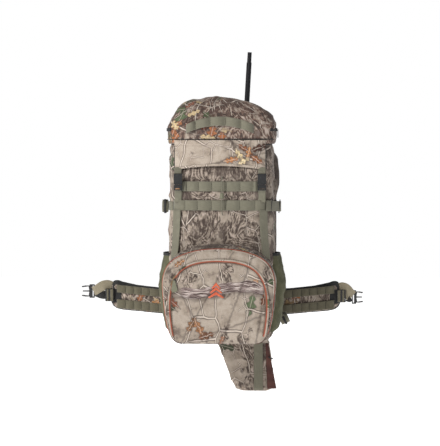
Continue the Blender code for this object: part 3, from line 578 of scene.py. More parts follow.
def outline_distance(outline, x, z):
    """Distance from a closed XZ outline."""
    here, least = Vector((x, 0, z)), 1.0
    for a, b in zip(outline, outline[1:] + outline[:1]):
        along = b - a
        t = max(0.0, min(1.0, (here - a).dot(along) / max(along.length_squared, 1e-12)))
        least = min(least, (a + along * t - here).length)
    return least


def build(name, points, faces, corners, look, body, stands_for=()):
    """A mesh piece with its fabric coordinates per face corner, riding on a body."""
    mesh = bpy.data.meshes.new(name)
    mesh.from_pydata([tuple(p) for p in points], [], faces)
    layer = mesh.uv_layers.new(name="fabric")
    flat = [value for face in corners for corner in face for value in corner]
    layer.data.foreach_set("uv", flat)
    work = bmesh.new()
    work.from_mesh(mesh)
    bmesh.ops.recalc_face_normals(work, faces=work.faces)
    work.to_mesh(mesh)
    work.free()
    mesh.materials.append(MATERIALS[look])
    mesh.shade_smooth()
    made = bpy.data.objects.new(name, mesh)
    bpy.context.collection.objects.link(made)
    if body:
        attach(made, body)
    if stands_for:
        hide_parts(*stands_for)
    return made


def skin(rows, wrap=False, caps=(False, False), u_start=0.0, v_start=0.0):
    """Points, faces and fabric coordinates of a surface through equal rows of points."""
    count = len(rows[0])
    middle = rows[len(rows) // 2]
    us = [u_start]
    for i in range(count):
        us.append(us[-1] + (Vector(middle[(i + 1) % count]) - Vector(middle[i])).length)
    vs = [v_start]
    for low, high in zip(rows, rows[1:]):
        total = sum((Vector(a) - Vector(b)).length for a, b in zip(low, high))
        vs.append(vs[-1] + total / count)
    points = [p for row in rows for p in row]
    faces, corners = [], []
    for r in range(len(rows) - 1):
        for i in range(count if wrap else count - 1):
            j = (i + 1) % count
            faces.append((r * count + i, r * count + j, (r + 1) * count + j, (r + 1) * count + i))
            corners.append(((us[i], vs[r]), (us[i + 1], vs[r]), (us[i + 1], vs[r + 1]), (us[i], vs[r + 1])))
    for end, first in ((0, 0), (1, (len(rows) - 1) * count)):
        if caps[end]:
            ring = tuple(range(first, first + count))
            faces.append(ring)
            corners.append(tuple((points[k][0], points[k][1]) for k in ring))
    return points, faces, corners


def settle(piece):
    """Turn a piece's modifiers into its mesh."""
    seen = piece.evaluated_get(bpy.context.evaluated_depsgraph_get())
    mesh = bpy.data.meshes.new_from_object(seen)
    piece.modifiers.clear()
    piece.data = mesh


def cloth_piece(name, rows, look, body, thickness, offset, node=None, wrap=False, caps=(False, False),
                front=False):
    """A thickened cloth through rows of points; front lays its print as seen from the front."""
    points, faces, corners = skin(rows, wrap, caps)
    if front:
        corners = front_corners(points, faces)
    made = build(name, points, faces, corners, look, body, (node,) if node else ())
    shell = made.modifiers.new("cloth_thickness", "SOLIDIFY")
    shell.thickness, shell.offset = thickness, offset
    return made


def joining_cloth(name, rows, look, thickness):
    """Cloth laid between two bodies, baked in place and riding on neither."""
    made = cloth_piece(name, rows, look, None, thickness, 0, front=True)
    settle(made)
    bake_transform(made)


def smooth(points, pieces, closed=False):
    """Catmull-Rom points through a short route."""
    route = [Vector(p) for p in points]
    if closed:
        route = [route[-1]] + route + [route[0], route[1]]
    else:
        route = [route[0]] + route + [route[-1]]
    fine = []
    for a, b, c, d in zip(route, route[1:], route[2:], route[3:]):
        for i in range(pieces):
            t = i / pieces
            fine.append((b * 2 + (c - a) * t + (a * 2 - b * 5 + c * 4 - d) * t * t
                         + (b * 3 - a - c * 3 + d) * t ** 3) / 2)
    return fine if closed else fine + [route[-2]]


def strap_section(width, thick):
    """A webbing's cross-section: flat faces and soft rounded selvedges, as (across, out, v)."""
    half, edge = width / 2, min(0.0016, width / 6)
    side = [(-half, 0.0), (-half + edge * 0.3, 0.40), (-half + edge, 0.5), (-half / 2, 0.44), (0.0, 0.42),
            (half / 2, 0.44), (half - edge, 0.5), (half - edge * 0.3, 0.40), (half, 0.0)]
    under = [(a, -o) for a, o in reversed(side[1:-1])]
    return [(a, o * thick) for a, o in side + under]


def strap(name, path, width, thick, look, body, across=(1, 0, 0), stands_for=(), closed=False):
    """A flat strap along a path; across is one vector, or one for each point."""
    path = [Vector(p) for p in path]
    count = len(path)
    widths = width if isinstance(width, list) else [width] * count
    rows, run, runs = [], 0.0, []
    for i, point in enumerate(path):
        side = Vector(across[i] if isinstance(across, list) else across).normalized()
        out = side.cross(heading(path, i, closed)).normalized()
        rows.append([point + side * a + out * o for a, o in strap_section(widths[i], thick)])
        runs.append(run)
        run += (path[(i + 1) % count] - point).length
    runs.append(run)
    size = len(rows[0])
    section = strap_section(widths[0], thick)
    points = [p for row in rows for p in row]
    faces, corners = [], []
    for r in range(count if closed else count - 1):
        s = (r + 1) % count
        for i in range(size):
            j = (i + 1) % size
            faces.append((r * size + i, r * size + j, s * size + j, s * size + i))
            vi, vj = section[i][0], section[j][0]
            corners.append(((runs[r], vi), (runs[r], vj), (runs[r + 1], vj), (runs[r + 1], vi)))
    if not closed:
        for first in (0, (count - 1) * size):
            ring = tuple(range(first, first + size))
            faces.append(ring)
            corners.append(tuple((0.0, section[k - first][0]) for k in ring))
    return build(name, points, faces, corners, look, body, stands_for)


def olive_strap(name, path, width, thick, body, across, node):
    """Olive webbing that stands for a node of the frame."""
    return strap(name, path, width, thick, "webbing", body, across, (node,))


def cord_mesh(name, path, radius, look, body, sides=8, stands_for=(), closed=False):
    """A round cord, piping or wire along a path."""
    path = [Vector(p) for p in path]
    rows = []
    guide = Vector((0.13, 0.27, 1.0)).normalized()
    for i, point in enumerate(path):
        ahead = heading(path, i, closed).normalized()
        side = ahead.cross(guide)
        if side.length < 0.2:
            side = ahead.cross(Vector((1, 0, 0)))
        side.normalize()
        up = ahead.cross(side)
        guide = side.cross(ahead) if not closed else guide
        turns = (2 * pi * k / sides for k in range(sides))
        rows.append([point + (side * cos(a) + up * sin(a)) * radius for a in turns])
    if closed:
        rows.append(rows[0])
    points, faces, corners = skin(rows, True, (not closed, not closed))
    return build(name, points, faces, corners, look, body, stands_for)


def stitches(name, path, out, body, look="stitch", pitch=0.0042, length=0.0028, radius=0.00045):
    """A run of thread stitches on a surface; out is its normal, or a function of the point."""
    path = [Vector(p) for p in path]
    points, faces, corners = [], [], []
    carry = 0.0
    for a, b in zip(path, path[1:]):
        span = (b - a).length
        if span < 1e-6:
            continue
        ahead = (b - a) / span
        at = carry
        while at < span:
            here = a + ahead * at
            up = Vector(out(here) if callable(out) else out).normalized()
            side = ahead.cross(up).normalized()
            first = len(points)
            for along, size in ((-0.5, 0.35), (-0.25, 1.0), (0.25, 1.0), (0.5, 0.35)):
                middle = here + ahead * along * length
                for c, s in ((1, 0), (0.5, 0.9), (-0.5, 0.9), (-1, 0), (-0.5, -0.6), (0.5, -0.6)):
                    points.append(middle + (side * c + up * s) * radius * size)
            for r in range(3):
                for k in range(6):
                    n = (k + 1) % 6
                    faces.append(tuple(first + r * 6 + i for i in (k, n, n + 6, k + 6)))
                    corners.append(((0, 0), (0.001, 0), (0.001, 0.001), (0, 0.001)))
            for r in (0, 3):
                faces.append(tuple(first + r * 6 + k for k in range(6)))
                corners.append(tuple((0.0, 0.0) for _ in range(6)))
            at += pitch
        carry = at - span
    return build(name, points, faces, corners, look, body)


def ridge(p, scale, seed):
    """A crisp fold pattern between -1 and 1, strongest along noise's zero lines."""
    q = Vector((p[0] * scale[0] + seed, p[1] * scale[1] + seed * 1.7, p[2] * scale[2] - seed))
    return 1.0 - 2.6 * abs(noise.noise(q))


def swell(p, scale, seed):
    q = Vector((p[0] * scale[0] + seed, p[1] * scale[1] - seed, p[2] * scale[2] + seed * 2.3))
    return noise.noise(q)


def window(value, low, high, soft):
    """1 between low and high, falling to 0 over soft on both sides."""
    inside = min((value - low) / soft, (high - value) / soft)
    t = max(0.0, min(1.0, inside))
    return t * t * (3 - 2 * t)


def bell(off, width):
    """1 at its middle, falling smoothly to 0 over a few widths."""
    return exp(-(off / width) ** 2)


def ease(value, low, high):
    """0 below low and 1 above high, smooth between."""
    t = max(0.0, min(1.0, (value - low) / (high - low)))
    return t * t * (3 - 2 * t)


# ---------------------------------------------------------------- main bag
STRAP_LEVELS = (0.284, 0.338)           # heights where webbing rows hold the cloth in


def bag_relief(x, y, z):
    """How far the bag's cloth stands out from the plain shape, in metres."""
    free = 1.0
    for level in STRAP_LEVELS:
        free *= 1.0 - 0.95 * window(z, level - 0.030, level + 0.030, 0.016)
    side = ease(abs(x), 0.125, 0.147)
    front_free = window(z, 0.165, 0.262, 0.030) + window(z, 0.358, 0.392, 0.012)
    puff = 0.0045 * front_free * (1 - side) + 0.0030 * free * side
    folds = 0.0022 * ridge((x, y, z), (9, 9, 26), 3.1) + 0.0014 * ridge((x, y, z), (24, 24, 14), 7.7)
    folds += 0.0016 * swell((x, y, z), (14, 14, 14), 1.3)
    hold = 0.15 + 0.85 * free
    if y < -0.235 and z < 0.158:
        return -0.0010
    return puff + (folds - 0.0012) * hold


def superellipse(half_x, half_y, centre_y, z, count, power=SQUARENESS):
    ring = []
    for i in range(count):
        a = 2 * pi * i / count - pi / 2 + pi
        c, s = cos(a), sin(a)
        ring.append((half_x * abs(c) ** (2 / power) * (1 if c >= 0 else -1),
                     centre_y + half_y * abs(s) ** (2 / power) * (1 if s >= 0 else -1), z))
    return ring


def even_ring(ring, count):
    """The closed ring again, with its points evenly spaced."""
    points = [Vector(p) for p in ring] + [Vector(ring[0])]
    lengths = [0.0]
    for a, b in zip(points, points[1:]):
        lengths.append(lengths[-1] + (b - a).length)
    even, k = [], 0
    for i in range(count):
        goal = lengths[-1] * i / count
        while lengths[k + 1] < goal:
            k += 1
        t = (goal - lengths[k]) / (lengths[k + 1] - lengths[k])
        even.append(points[k].lerp(points[k + 1], t))
    return even


def make_bag():
    count, rows = 156, []
    low, high = BAG_STATIONS[0][0], BAG_STATIONS[-1][0]
    for share in (0.05, 0.35, 0.65, 0.88):
        rows.append([Vector((p.x * share, BAG_CENTRE_Y + (p.y - BAG_CENTRE_Y) * share, low - 0.0006))
                     for p in even_ring(superellipse(*BAG_STATIONS[0][1:], BAG_CENTRE_Y, low, 220), count)])
    steps = 118
    for k in range(steps + 1):
        z = low + (high - low) * k / steps
        half_x, half_y = between(BAG_STATIONS, z)
        ring = even_ring(superellipse(half_x, half_y, BAG_CENTRE_Y, z, 220), count)
        row = []
        for i, p in enumerate(ring):
            out = ring_out(ring, i, BAG_CENTRE_Y)
            fade = ease(z, low, low + 0.02) * (1 - ease(z, high - 0.012, high))
            row.append(p + out * bag_relief(p.x, p.y, z) * fade)
        rows.append(row)
    cloth_piece("bag_cloth", rows, "bag", "root", 0.0022, -1, "bag_shell", True, (True, False))
    half_x, half_y = BAG_STATIONS[-1][1:]
    rim = even_ring(superellipse(half_x - 0.0008, half_y - 0.0008, BAG_CENTRE_Y, high - 0.0022, 160), 120)
    cord_mesh("bag_rim_binding", rim, 0.0021, "binding", "root", closed=True)


# ---------------------------------------------------------------- lid, flap and buckles
def lid_lift(x, z):
    """The top's uneven load: it drops towards the right shoulder."""
    rise = ease(z, 0.500, 0.590)
    return -0.012 * rise * ease(x, -0.02, 0.12) + 0.002 * rise * ease(-x, 0.02, 0.11)


def lid_relief(x, y, z):
    up = ease(z, 0.474, 0.500)
    folds = 0.0030 * ridge((x, y, z), (11, 11, 30), 5.4) * (1 - 0.5 * ease(z, 0.56, 0.59))
    folds += 0.0026 * ridge((x, y, z), (26, 20, 12), 2.2) + 0.0026 * swell((x, y, z), (18, 18, 18), 9.1)
    gather = 0.0011 * sin(x * 420 + 2.0 * swell((x, y, z), (12, 12, 12), 4.0)) * (1 - ease(z, 0.478, 0.500))
    return (folds - 0.0015) * (0.25 + 0.75 * up) + gather


def make_lid():
    count, rows = 144, []
    heights = [0.4625 + (0.5920 - 0.4625) * sin(pi / 2 * k / 44) for k in range(45)]
    base = even_ring(superellipse(0.1515, 0.0835, -0.1690, 0.4625, 220), count)
    for share in (0.05, 0.5, 0.9):
        rows.append([Vector((p.x * share, -0.169 + (p.y + 0.169) * share, 0.4622)) for p in base])
    for z in heights:
        half_x, front, back = between(LID_STATIONS, z)
        middle = (front + back) / 2
        ring = even_ring(superellipse(half_x, (back - front) / 2, middle, z, 220), count)
        row = []
        for i, p in enumerate(ring):
            out = ring_out(ring, i, middle)
            steep = 1 - ease(z, 0.570, 0.592)
            p = Vector((p.x * (1 - 0.085 * ease(z, 0.495, 0.555) * (p.x < 0)), p.y, p.z))
            moved = p + (out * steep + Vector((0, 0, 1 - steep))) * lid_relief(p.x, p.y, z)
            row.append(moved + Vector((0, 0, lid_lift(p.x, z))))
        rows.append(row)
    top = rows[-1]
    centre = sum((Vector(p) for p in top), Vector()) / count
    for share in (0.75, 0.45, 0.15):
        row = []
        for p in top:
            q = centre.lerp(p, share)
            row.append(q + Vector((0, 0, 0.0020 * (1 - share) + 0.0022 * swell(q, (30, 30, 30), 6.0))))
        rows.append(row)
    points, faces, corners = skin(rows, True, (True, True))
    build("lid_cloth", points, faces, corners, "lid", "lid", ("lid_shell",))
    edge = even_ring(superellipse(0.1550, 0.0872, -0.1700, 0.4725, 200), 150)
    cord_mesh("lid_edge_binding", edge, 0.0013, "binding", "lid", closed=True)
    skirt = []
    for z in (0.4595, 0.4612, 0.4640, 0.4668):
        skirt.append(even_ring(superellipse(0.1512, 0.0838, -0.1690, z, 200), 150))
    cloth_piece("lid_skirt", skirt, "lid", "lid", 0.0016, -1, wrap=True)


def bowed_rows(name, surface, reach, z_middle, height, tacks, bulge, body, stands_for, bow=0.0, lift=0.0012,
               look="webbing", shift=0.0, thick=0.0022, slope=0.0):
    """A webbing row held down at its tacks and arched between them, with a stitched bar at each tack."""
    path, per = [], 10
    marks = [-reach] + list(tacks) + [reach]
    spans = list(zip(marks, marks[1:]))
    for n, (a, b) in enumerate(spans):
        for k in range(per + (n == len(spans) - 1)):
            t = k / per
            x = a + (b - a) * t
            z = z_middle - bow * (x / reach) ** 2 + slope * x
            out = lift + bulge * sin(pi * t) ** 0.8 if 0 < t < 1 else lift
            path.append((x + shift, surface(x, z) - out, z))
    strap(name, path, height, thick, look, body, (0, 0, 1), stands_for)
    bars = []
    for x in marks[1:-1] + [marks[0] + 0.003, marks[-1] - 0.003]:
        z = z_middle - bow * (x / reach) ** 2 + slope * x
        y = surface(x, z) - lift - thick / 2 - 0.0002
        for k in range(9):
            dz = (k / 8 - 0.5) * (height - 0.005)
            bars.append((x + shift + (0.0010 if k % 2 else -0.0010), y, z + dz))
        bars.append(None)
    zigzags(name + "_tacks", bars, 0.00055, body)


def zigzags(name, bars, radius, body):
    """Thread bars: runs of points parted by None, as one mesh of thin square threads."""
    points, faces, corners = [], [], []
    run = []
    for item in bars:
        if item is None:
            run = []
            continue
        here = Vector(item)
        if run:
            ahead = (here - run[-1]).normalized()
            side = ahead.cross(Vector((0, 1, 0))).normalized()
            first = len(points)
            for end in (run[-1], here):
                for c, s in ((1, 0), (0, -1), (-1, 0), (0, 1)):
                    points.append(end + side * c * radius + Vector((0, s * radius, 0)))
            for k in range(4):
                n = (k + 1) % 4
                faces.append((first + k, first + n, first + n + 4, first + k + 4))
                corners.append(((0, 0), (0.001, 0), (0.001, 0.001), (0, 0.001)))
            for r in (0, 4):
                faces.append(tuple(first + r + k for k in range(4)))
                corners.append(tuple((0.0, 0.0) for _ in range(4)))
        run.append(here)
    return build(name, points, faces, corners, "stitch", body)


def make_lid_handle():
    tacks = (-0.070, -0.028, 0.016, 0.060)
    bowed_rows("lid_handle_webbing", lambda x, z: lid_front(x, z) - 0.0015, 0.0960, 0.5240, 0.026, tacks,
               0.0085, "lid", ("lid_handle_row",), 0.022, 0.0016)


def make_flap():
    columns, rows_n = 84, 22
    width, seam, hem = 0.1305, 0.4590, 0.397
    rows = []
    for r in range(rows_n + 1):
        t = r / rows_n
        row = []
        for c in range(columns + 1):
            x = -width + 2 * width * c / columns
            low = hem - 0.012 * (x / width) ** 2
            z = seam - 0.0025 + (low - seam + 0.0025) * t
            folds = 0.0011 * ridge((x, 0, z), (12, 1, 30), 8.3) + 0.0010 * swell((x, 0, z), (26, 1, 20), 2.9)
            hold = window(x, -width, width, 0.02) * window(t, 0, 1, 0.15)
            row.append((x, lid_front(x, 0.474) - folds * hold - 0.0010 * sin(pi * t), z))
        rows.append(row)
    cloth_piece("flap_cloth", rows, "flap", "flap", 0.0022, 0, "lid_flap", front=True)
    strip = []
    for k in range(9):
        z = 0.4700 - 0.0165 * k / 8
        strip.append([(x, lid_front(x, 0.474) - 0.0016 - 0.0008 * sin(pi * k / 8), z)
                      for x in (-width + 2 * width * c / columns for c in range(columns + 1))])
    joining_cloth("flap_hinge_cloth", strip, "flap", 0.0014)
    hem_path = [Vector(p) for p in rows[-1]]
    strap("flap_hem_binding", [p + Vector((0, -0.0004, 0.0030)) for p in hem_path], 0.0080, 0.0032, "flap",
          "flap", (0, 0, 1))
    stitches("flap_hem_stitches", [p + Vector((0, -0.0021, 0.0062)) for p in hem_path], (0, -1, 0), "flap")
    for side in (-1, 1):
        edge = [Vector(row[0 if side < 0 else -1]) for row in rows]
        strap("flap_edge_binding_" + ("left" if side < 0 else "right"),
              [p + Vector((-side * 0.002, -0.0003, 0)) for p in edge], 0.0065, 0.0032, "binding", "flap",
              (1, 0, 0))


def make_lid_buckles():
    for side, label in SIDES:
        x = side * 0.120
        face = lid_front(0.1095, 0.474) - 0.0026
        tab = smooth([(x, face + 0.0034, 0.3920), (x, face + 0.0012, 0.3865), (x, face - 0.0030, 0.3820),
                      (x, -0.2545, 0.3785), (x, -0.2572, 0.3750)], 4)
        strap("flap_tab_" + label, tab, 0.0205, 0.0020, "webbing", "flap")
        surface = bag_front(0.1085, 0.31)
        hang = smooth([(x, -0.2556, 0.3292), (x, surface - 0.0060, 0.3220), (x, surface - 0.0038, 0.3120),
                       (x, surface - 0.0030, 0.3000), (x, surface - 0.0030, 0.2920)], 4)
        hanger = olive_strap("buckle_webbing_" + label, hang, 0.0205, 0.0020, None, (1, 0, 0),
                             "buckle_strap_" + label)
        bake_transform(hanger)


# ---------------------------------------------------------------- webbing on the bag
def make_front_webbing():
    upper = (-0.096, -0.062, -0.024, 0.018, 0.057, 0.095)
    lower = (-0.101, -0.065, -0.025, 0.017, 0.056, 0.099)
    bowed_rows("upper_row_webbing", bag_front, 0.108, 0.338, 0.0285, upper, 0.0046, "root",
               ("molle_row_upper",))
    bowed_rows("lower_row_webbing", bag_front, 0.1340, 0.284, 0.0295, lower, 0.0046, "root",
               ("molle_row_lower",))
    low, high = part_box("front_cord")
    x, y = (low[0] + high[0]) / 2, (low[1] + high[1]) / 2
    cord_path = smooth([(x, y + 0.010, 0.3660), (x, y + 0.003, 0.3600), (x, y, 0.3500), (x, y, 0.3300),
                        (x, y, 0.2900), (x, y, 0.2700), (x + 0.0004, y + 0.003, 0.2620),
                        (x + 0.0006, y + 0.010, 0.2570)], 4)
    cord_mesh("front_bungee", cord_path, 0.0013, "webbing", "root", 8, ("front_cord",))


def bag_cloth_front(x, z):
    y = bag_front(x, z)
    return y - max(bag_relief(x, y, z), 0.0)


def side_path(z, y_from, y_to, lift, steps=26):
    path = []
    for i in range(steps + 1):
        y = y_from + (y_to - y_from) * i / steps
        path.append((bag_side(y, z) + lift, y, z))
    return path


def make_side_webbing():
    for side, label in SIDES:
        path = [(side * x, y, z) for x, y, z in side_path(0.2815, -0.232, -0.100, 0.0036)]
        olive_strap("side_webbing_" + label, path, 0.0250, 0.0022, "root", (0, 0, 1), "side_strap_" + label)
        route = []
        for k in range(19):
            t = k / 18
            z = 0.2720 - 0.142 * t
            x = 0.1240 + 0.0090 * t * t
            y = min(bag_cloth_front(x + off, z) for off in (-0.008, 0.0, 0.008)) - 0.0022
            route.append((side * x, y, z))
        outward = []
        for x, y, z in route:
            e = 0.004
            slope = (bag_front(abs(x) + e, z) - bag_front(abs(x) - e, z)) / (2 * e)
            outward.append(Vector((side, slope, 0)).normalized())
        olive_strap("pocket_webbing_" + label, route, 0.0250, 0.0021, "root", outward,
                    "pocket_strap_" + label)
    spiral_roll("left_strap_roll", (-0.1617, -0.1960, 0.2800), 0.0118, 0.0182, 0.0170, "strap_roll_left")
    keeper = smooth([(0.1330, -0.2440, 0.2830), (0.1450, -0.2330, 0.2825), (0.1540, -0.2180, 0.2815),
                     (0.1620, -0.2010, 0.2805), (0.1690, -0.1900, 0.2800), (0.1705, -0.1820, 0.2800),
                     (0.1660, -0.1780, 0.2800)], 5)
    strap("right_strap_tail", keeper, 0.0300, 0.0024, "webbing", "root", (0, 0, 1))
    for n, k in (("front", 6), ("rear", 19)):
        hold = [keeper[k] + Vector((0.0016 * cos(a) - 0.0006, -0.0016 + 0.0010 * sin(a), 0.0185 * cos(a)))
                for a in (2 * pi * i / 28 for i in range(28))]
        cord_mesh("right_strap_keeper_" + n, hold, 0.0014, "black", "root", closed=True)
    low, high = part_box("lower_strap_roll")
    centre = [(a + b) / 2 for a, b in zip(low, high)]
    spiral_roll("lower_roll", centre, 0.0140, 0.0165, 0.0250, "lower_strap_roll", 25)
    lead = smooth([(0.1470, -0.1050, -0.0280), (0.1580, -0.1010, -0.0360), (0.1680, -0.0990, -0.0440),
                   (0.1740, -0.0985, -0.0500)], 5)
    strap("lower_roll_lead", lead, 0.0200, 0.0020, "webbing", "root", (0.5, 0, 0.85))


def spiral_roll(name, centre, half_y, half_z, width, node, tilt=0.0):
    """Webbing wound flat on itself, its turns seen from the side of the pack."""
    turns, per = 4.3, 26
    total = int(turns * per)
    path = []
    for k in range(total + 1):
        a = 2 * pi * k / per
        share = 0.16 + 0.84 * k / total
        path.append(Vector((0, half_y * share * cos(a), half_z * share * sin(a))))
    turn = Matrix.Rotation(radians(-tilt), 3, "Y")
    path = [turn @ p + Vector(centre) for p in path]
    olive_strap(name, path, width, 0.0021, "root", turn @ Vector((1, 0, 0)), node)
    loop = [turn @ Vector((0, (half_y + 0.0014) * cos(a), (half_z + 0.0014) * sin(a))) + Vector(centre)
            for a in (2 * pi * k / 40 for k in range(40))]
    strap(name + "_keeper", loop, 0.0065, 0.0016, "binding", "root", turn @ Vector((1, 0, 0)), closed=True)


# ---------------------------------------------------------------- front pocket
POCKET_RIM_Y = -0.3100
DOOR_MIDDLE_Z = 0.012
POCKET_HALF_OUTLINE = (     # the front pocket's right half from its foot to the top of its crown: x, z
    (0.1040, -0.1060), (0.1190, -0.1020), (0.1300, -0.0920), (0.1380, -0.0750), (0.1455, -0.0480),
    (0.1510, -0.0150), (0.1550, 0.0200), (0.1575, 0.0520), (0.1560, 0.0800), (0.1470, 0.1070),
    (0.1290, 0.1280), (0.1020, 0.1430), (0.0700, 0.1530), (0.0360, 0.1585), (0.0000, 0.1600))
ZIP_HALF_OUTLINE = (        # the door's zip, right half from its lower end to its crown: x, z
    (0.1285, -0.0850), (0.1330, -0.0620), (0.1375, -0.0200), (0.1375, 0.0200), (0.1330, 0.0520),
    (0.1230, 0.0780), (0.1060, 0.1000), (0.0800, 0.1160), (0.0420, 0.1255), (0.0000, 0.1280))


def crowned(half, pieces=8):
    """An XZ path from a right half: up its right side, over the crown and down its left side."""
    right = smooth([(x, 0.0, z) for x, z in half], pieces)
    return right + [Vector((-p.x, 0.0, p.z)) for p in right[-2::-1]]


DOOR_OUTLINE = crowned(POCKET_HALF_OUTLINE, 6)


def door_face(x, z):
    """The y of the door's padded front."""
    inside = outline_distance(DOOR_OUTLINE, x, z)
    round_edge = sqrt(1 - (1 - min(inside / 0.0110, 1.0)) ** 2)
    return POCKET_RIM_Y - 0.0006 - 0.0070 * round_edge - 0.0048 * (1 - exp(-inside / 0.03))


def make_door():
    ring = even_ring(DOOR_OUTLINE, 180)
    middle = Vector((0, 0, DOOR_MIDDLE_Z))
    rows = [[Vector((p.x, POCKET_RIM_Y - 0.0006, p.z)) for p in ring]]
    shares = [1 - 0.0035 * k for k in range(1, 7)] + [0.965 - 0.0245 * k for k in range(39)]
    for share in shares:
        row = []
        for p in ring:
            q = middle + (p - middle) * share
            y = door_face(q.x, q.z)
            soft = ease(outline_distance(DOOR_OUTLINE, q.x, q.z), 0.006, 0.03)
            folds = 0.0013 * ridge((q.x, 0, q.z), (16, 1, 22), 12.6)
            folds += 0.0014 * swell((q.x, 0, q.z), (20, 1, 20), 5.5)
            row.append(Vector((q.x, y - folds * soft, q.z)))
        rows.append(row)
    points, faces, _ = skin(rows, True, (True, True))
    corners = front_corners(points, faces)
    build("door_cloth", points, faces, corners, "door", "door", ("pocket_door",))

    path = crowned(ZIP_HALF_OUTLINE)
    track, sides = [], []
    for i, p in enumerate(path):
        track.append(Vector((p.x, door_face(p.x, p.z) - 0.0012, p.z)))
        sides.append(square_to(heading(path, i)))
    strap("door_zip_tape", track, 0.0100, 0.0016, "tape", "door", sides, ("door_zip",))
    cord_mesh("door_zip_coil", [p + Vector((0, -0.0009, 0)) for p in track], 0.0015, "orange", "door")
    lip = [p + s * 0.0034 + Vector((0, -0.0016, 0)) for p, s in zip(track, sides)]
    strap("door_zip_lip", lip, 0.0048, 0.0018, "door", "door", sides)
    for name, shift in (("inner", -0.0066), ("outer", 0.0066)):
        run = [p + s * shift + Vector((0, -0.0002, 0)) for p, s in zip(track, sides)]
        stitches("door_zip_stitches_" + name, run, (0, -1, 0), "door", pitch=0.005)


def make_gusset():
    """The pocket's wall: cloth from the bag's front out to the door's rim, with a seam and piping."""
    ring = even_ring(DOOR_OUTLINE, 180)
    rows, steps = [], 16
    for k in range(steps + 1):
        t = k / steps
        row = []
        for i, p in enumerate(ring):
            out = square_to(heading(ring, i, True))
            back = min(bag_front(p.x, p.z) + 0.0006, -0.2180)
            y = back + (POCKET_RIM_Y - back) * t
            crown = ease(p.z, 0.085, 0.155)
            p = p + Vector((0, 0, 0.0150 * crown * (1 - t) ** 1.3 - 0.0020 * crown * t))
            bulge = 0.0042 * sin(pi * t) ** 0.7 if 0 < t < 1 else 0.0
            fold = (0.0016 * ridge((p.x, y, p.z), (18, 10, 18), 4.4)
                    + 0.0010 * swell((p.x, y, p.z), (40, 30, 40), 2.0)) * sin(pi * t)
            row.append(Vector((p.x, y, p.z)) + out * (bulge + fold - 0.0012))
        rows.append(row)
    cloth_piece("gusset_cloth", rows, "gusset", "root", 0.0022, -1, "pocket_gusset", True)

    path = crowned(POCKET_HALF_OUTLINE)
    track = []
    for i, p in enumerate(path):
        track.append(Vector((p.x, POCKET_RIM_Y + 0.0048, p.z)) + square_to(heading(path, i)) * 0.0016)
    strap("pocket_zip_tape", track, 0.0085, 0.0018, "tape", "root", (0, 1, 0), ("pocket_zip",))
    piping = [p + Vector((0, -0.0040, 0)) for p in track if p.z > -0.0800]
    cord_mesh("pocket_piping", piping, 0.0017, "orange", "root")
    seam = []
    for p in ring:
        if p.z > -0.0860:
            y = door_face(p.x * 0.985, DOOR_MIDDLE_Z + (p.z - DOOR_MIDDLE_Z) * 0.985) + 0.0018
            seam.append(Vector((p.x * 0.996, y, DOOR_MIDDLE_Z + (p.z - DOOR_MIDDLE_Z) * 0.996)))
    cord_mesh("door_edge_piping", seam, 0.0020, "door", "door")
    hinge = [Vector((-0.102 + 0.012 * k, -0.3094, -0.1058)) for k in range(18)]
    cord_mesh("door_hinge_seam", hinge, 0.0019, "gusset", "root")


def make_emblem():
    """A plain pine-tree badge of three stitched boughs."""
    points, faces, corners = [], [], []
    for half, drop in ((0.0130, 0.0), (0.0180, 0.0125), (0.0230, 0.0260)):
        outline = [(0, 0.0140), (half, -0.0020), (half * 0.80, -0.0050), (0, 0.0050), (-half * 0.80, -0.0050),
                   (-half, -0.0020)]
        first = len(points)
        for lift in (0.0002, 0.0016):
            for x, z in outline:
                px, pz = x - 0.006, z + 0.0540 - drop
                points.append((px, door_face(px, pz) - lift - 0.0002, pz))
        for k in range(6):
            m = (k + 1) % 6
            faces.append((first + k, first + m, first + m + 6, first + k + 6))
        for a, b, c, d in ((0, 1, 2, 3), (0, 3, 4, 5)):
            faces.append((first + a + 6, first + b + 6, first + c + 6, first + d + 6))
            faces.append((first + d, first + c, first + b, first + a))
    corners = front_corners(points, faces)
    build("pine_badge", points, faces, corners, "thread", "door", ("emblem",))


def make_side_pockets():
    stations = ((-0.0850, 0.0060), (-0.0780, 0.0120), (-0.0500, 0.0200), (0.0000, 0.0265), (0.0400, 0.0285),
                (0.0900, 0.0220), (0.1300, 0.0150), (0.1450, 0.0130))
    front_y, back_y, steps, levels = -0.2150, -0.1060, 46, 58
    for side, label in SIDES:
        rows, rim = [], []
        for k in range(levels + 1):
            z = -0.0850 + 0.2300 * k / levels
            bulge = between(stations, z)[0]
            row = []
            for i in range(steps + 1):
                t = i / steps
                y = front_y + (back_y - front_y) * t
                shape = sin(pi * t) ** 0.55 if 0 < i < steps else 0.0
                folds = 0.0013 * ridge((side, y, z), (1, 12, 40), 6.5 + side) * shape
                folds += 0.0011 * sin(y * 520) * shape * ease(z, 0.100, 0.140)
                low = ease(z, -0.085, -0.070)
                full = 1 + 0.30 * ease(z, 0.010, 0.070)
                x = bag_side(y, z) + 0.0008 + bulge * full * shape * (0.35 + 0.65 * low) + folds * low
                row.append(Vector((side * x, y, z)))
            rows.append(row)
            rim = row
        cloth_piece("stretch_pocket_" + label, rows, "stretch", "root", 0.0020, 0, "side_pocket_" + label)
        floor = [Vector(p) for p in rows[0]]
        base = [Vector((side * (bag_side(p.y, -0.085) - 0.002), p.y, -0.0852)) for p in floor]
        points, faces, corners = skin([floor, base])
        build("pocket_floor_" + label, points, faces, corners, "stretch", "root")
        elastic = [p + Vector((side * 0.0004, 0, -0.003)) for p in rim]
        strap("pocket_elastic_" + label, elastic, 0.0090, 0.0034, "binding", "root", (0, 0, 1))


# ---------------------------------------------------------------- padded pieces
AIR_PRESSURE, AIR_FRAMES = 4.0, 20


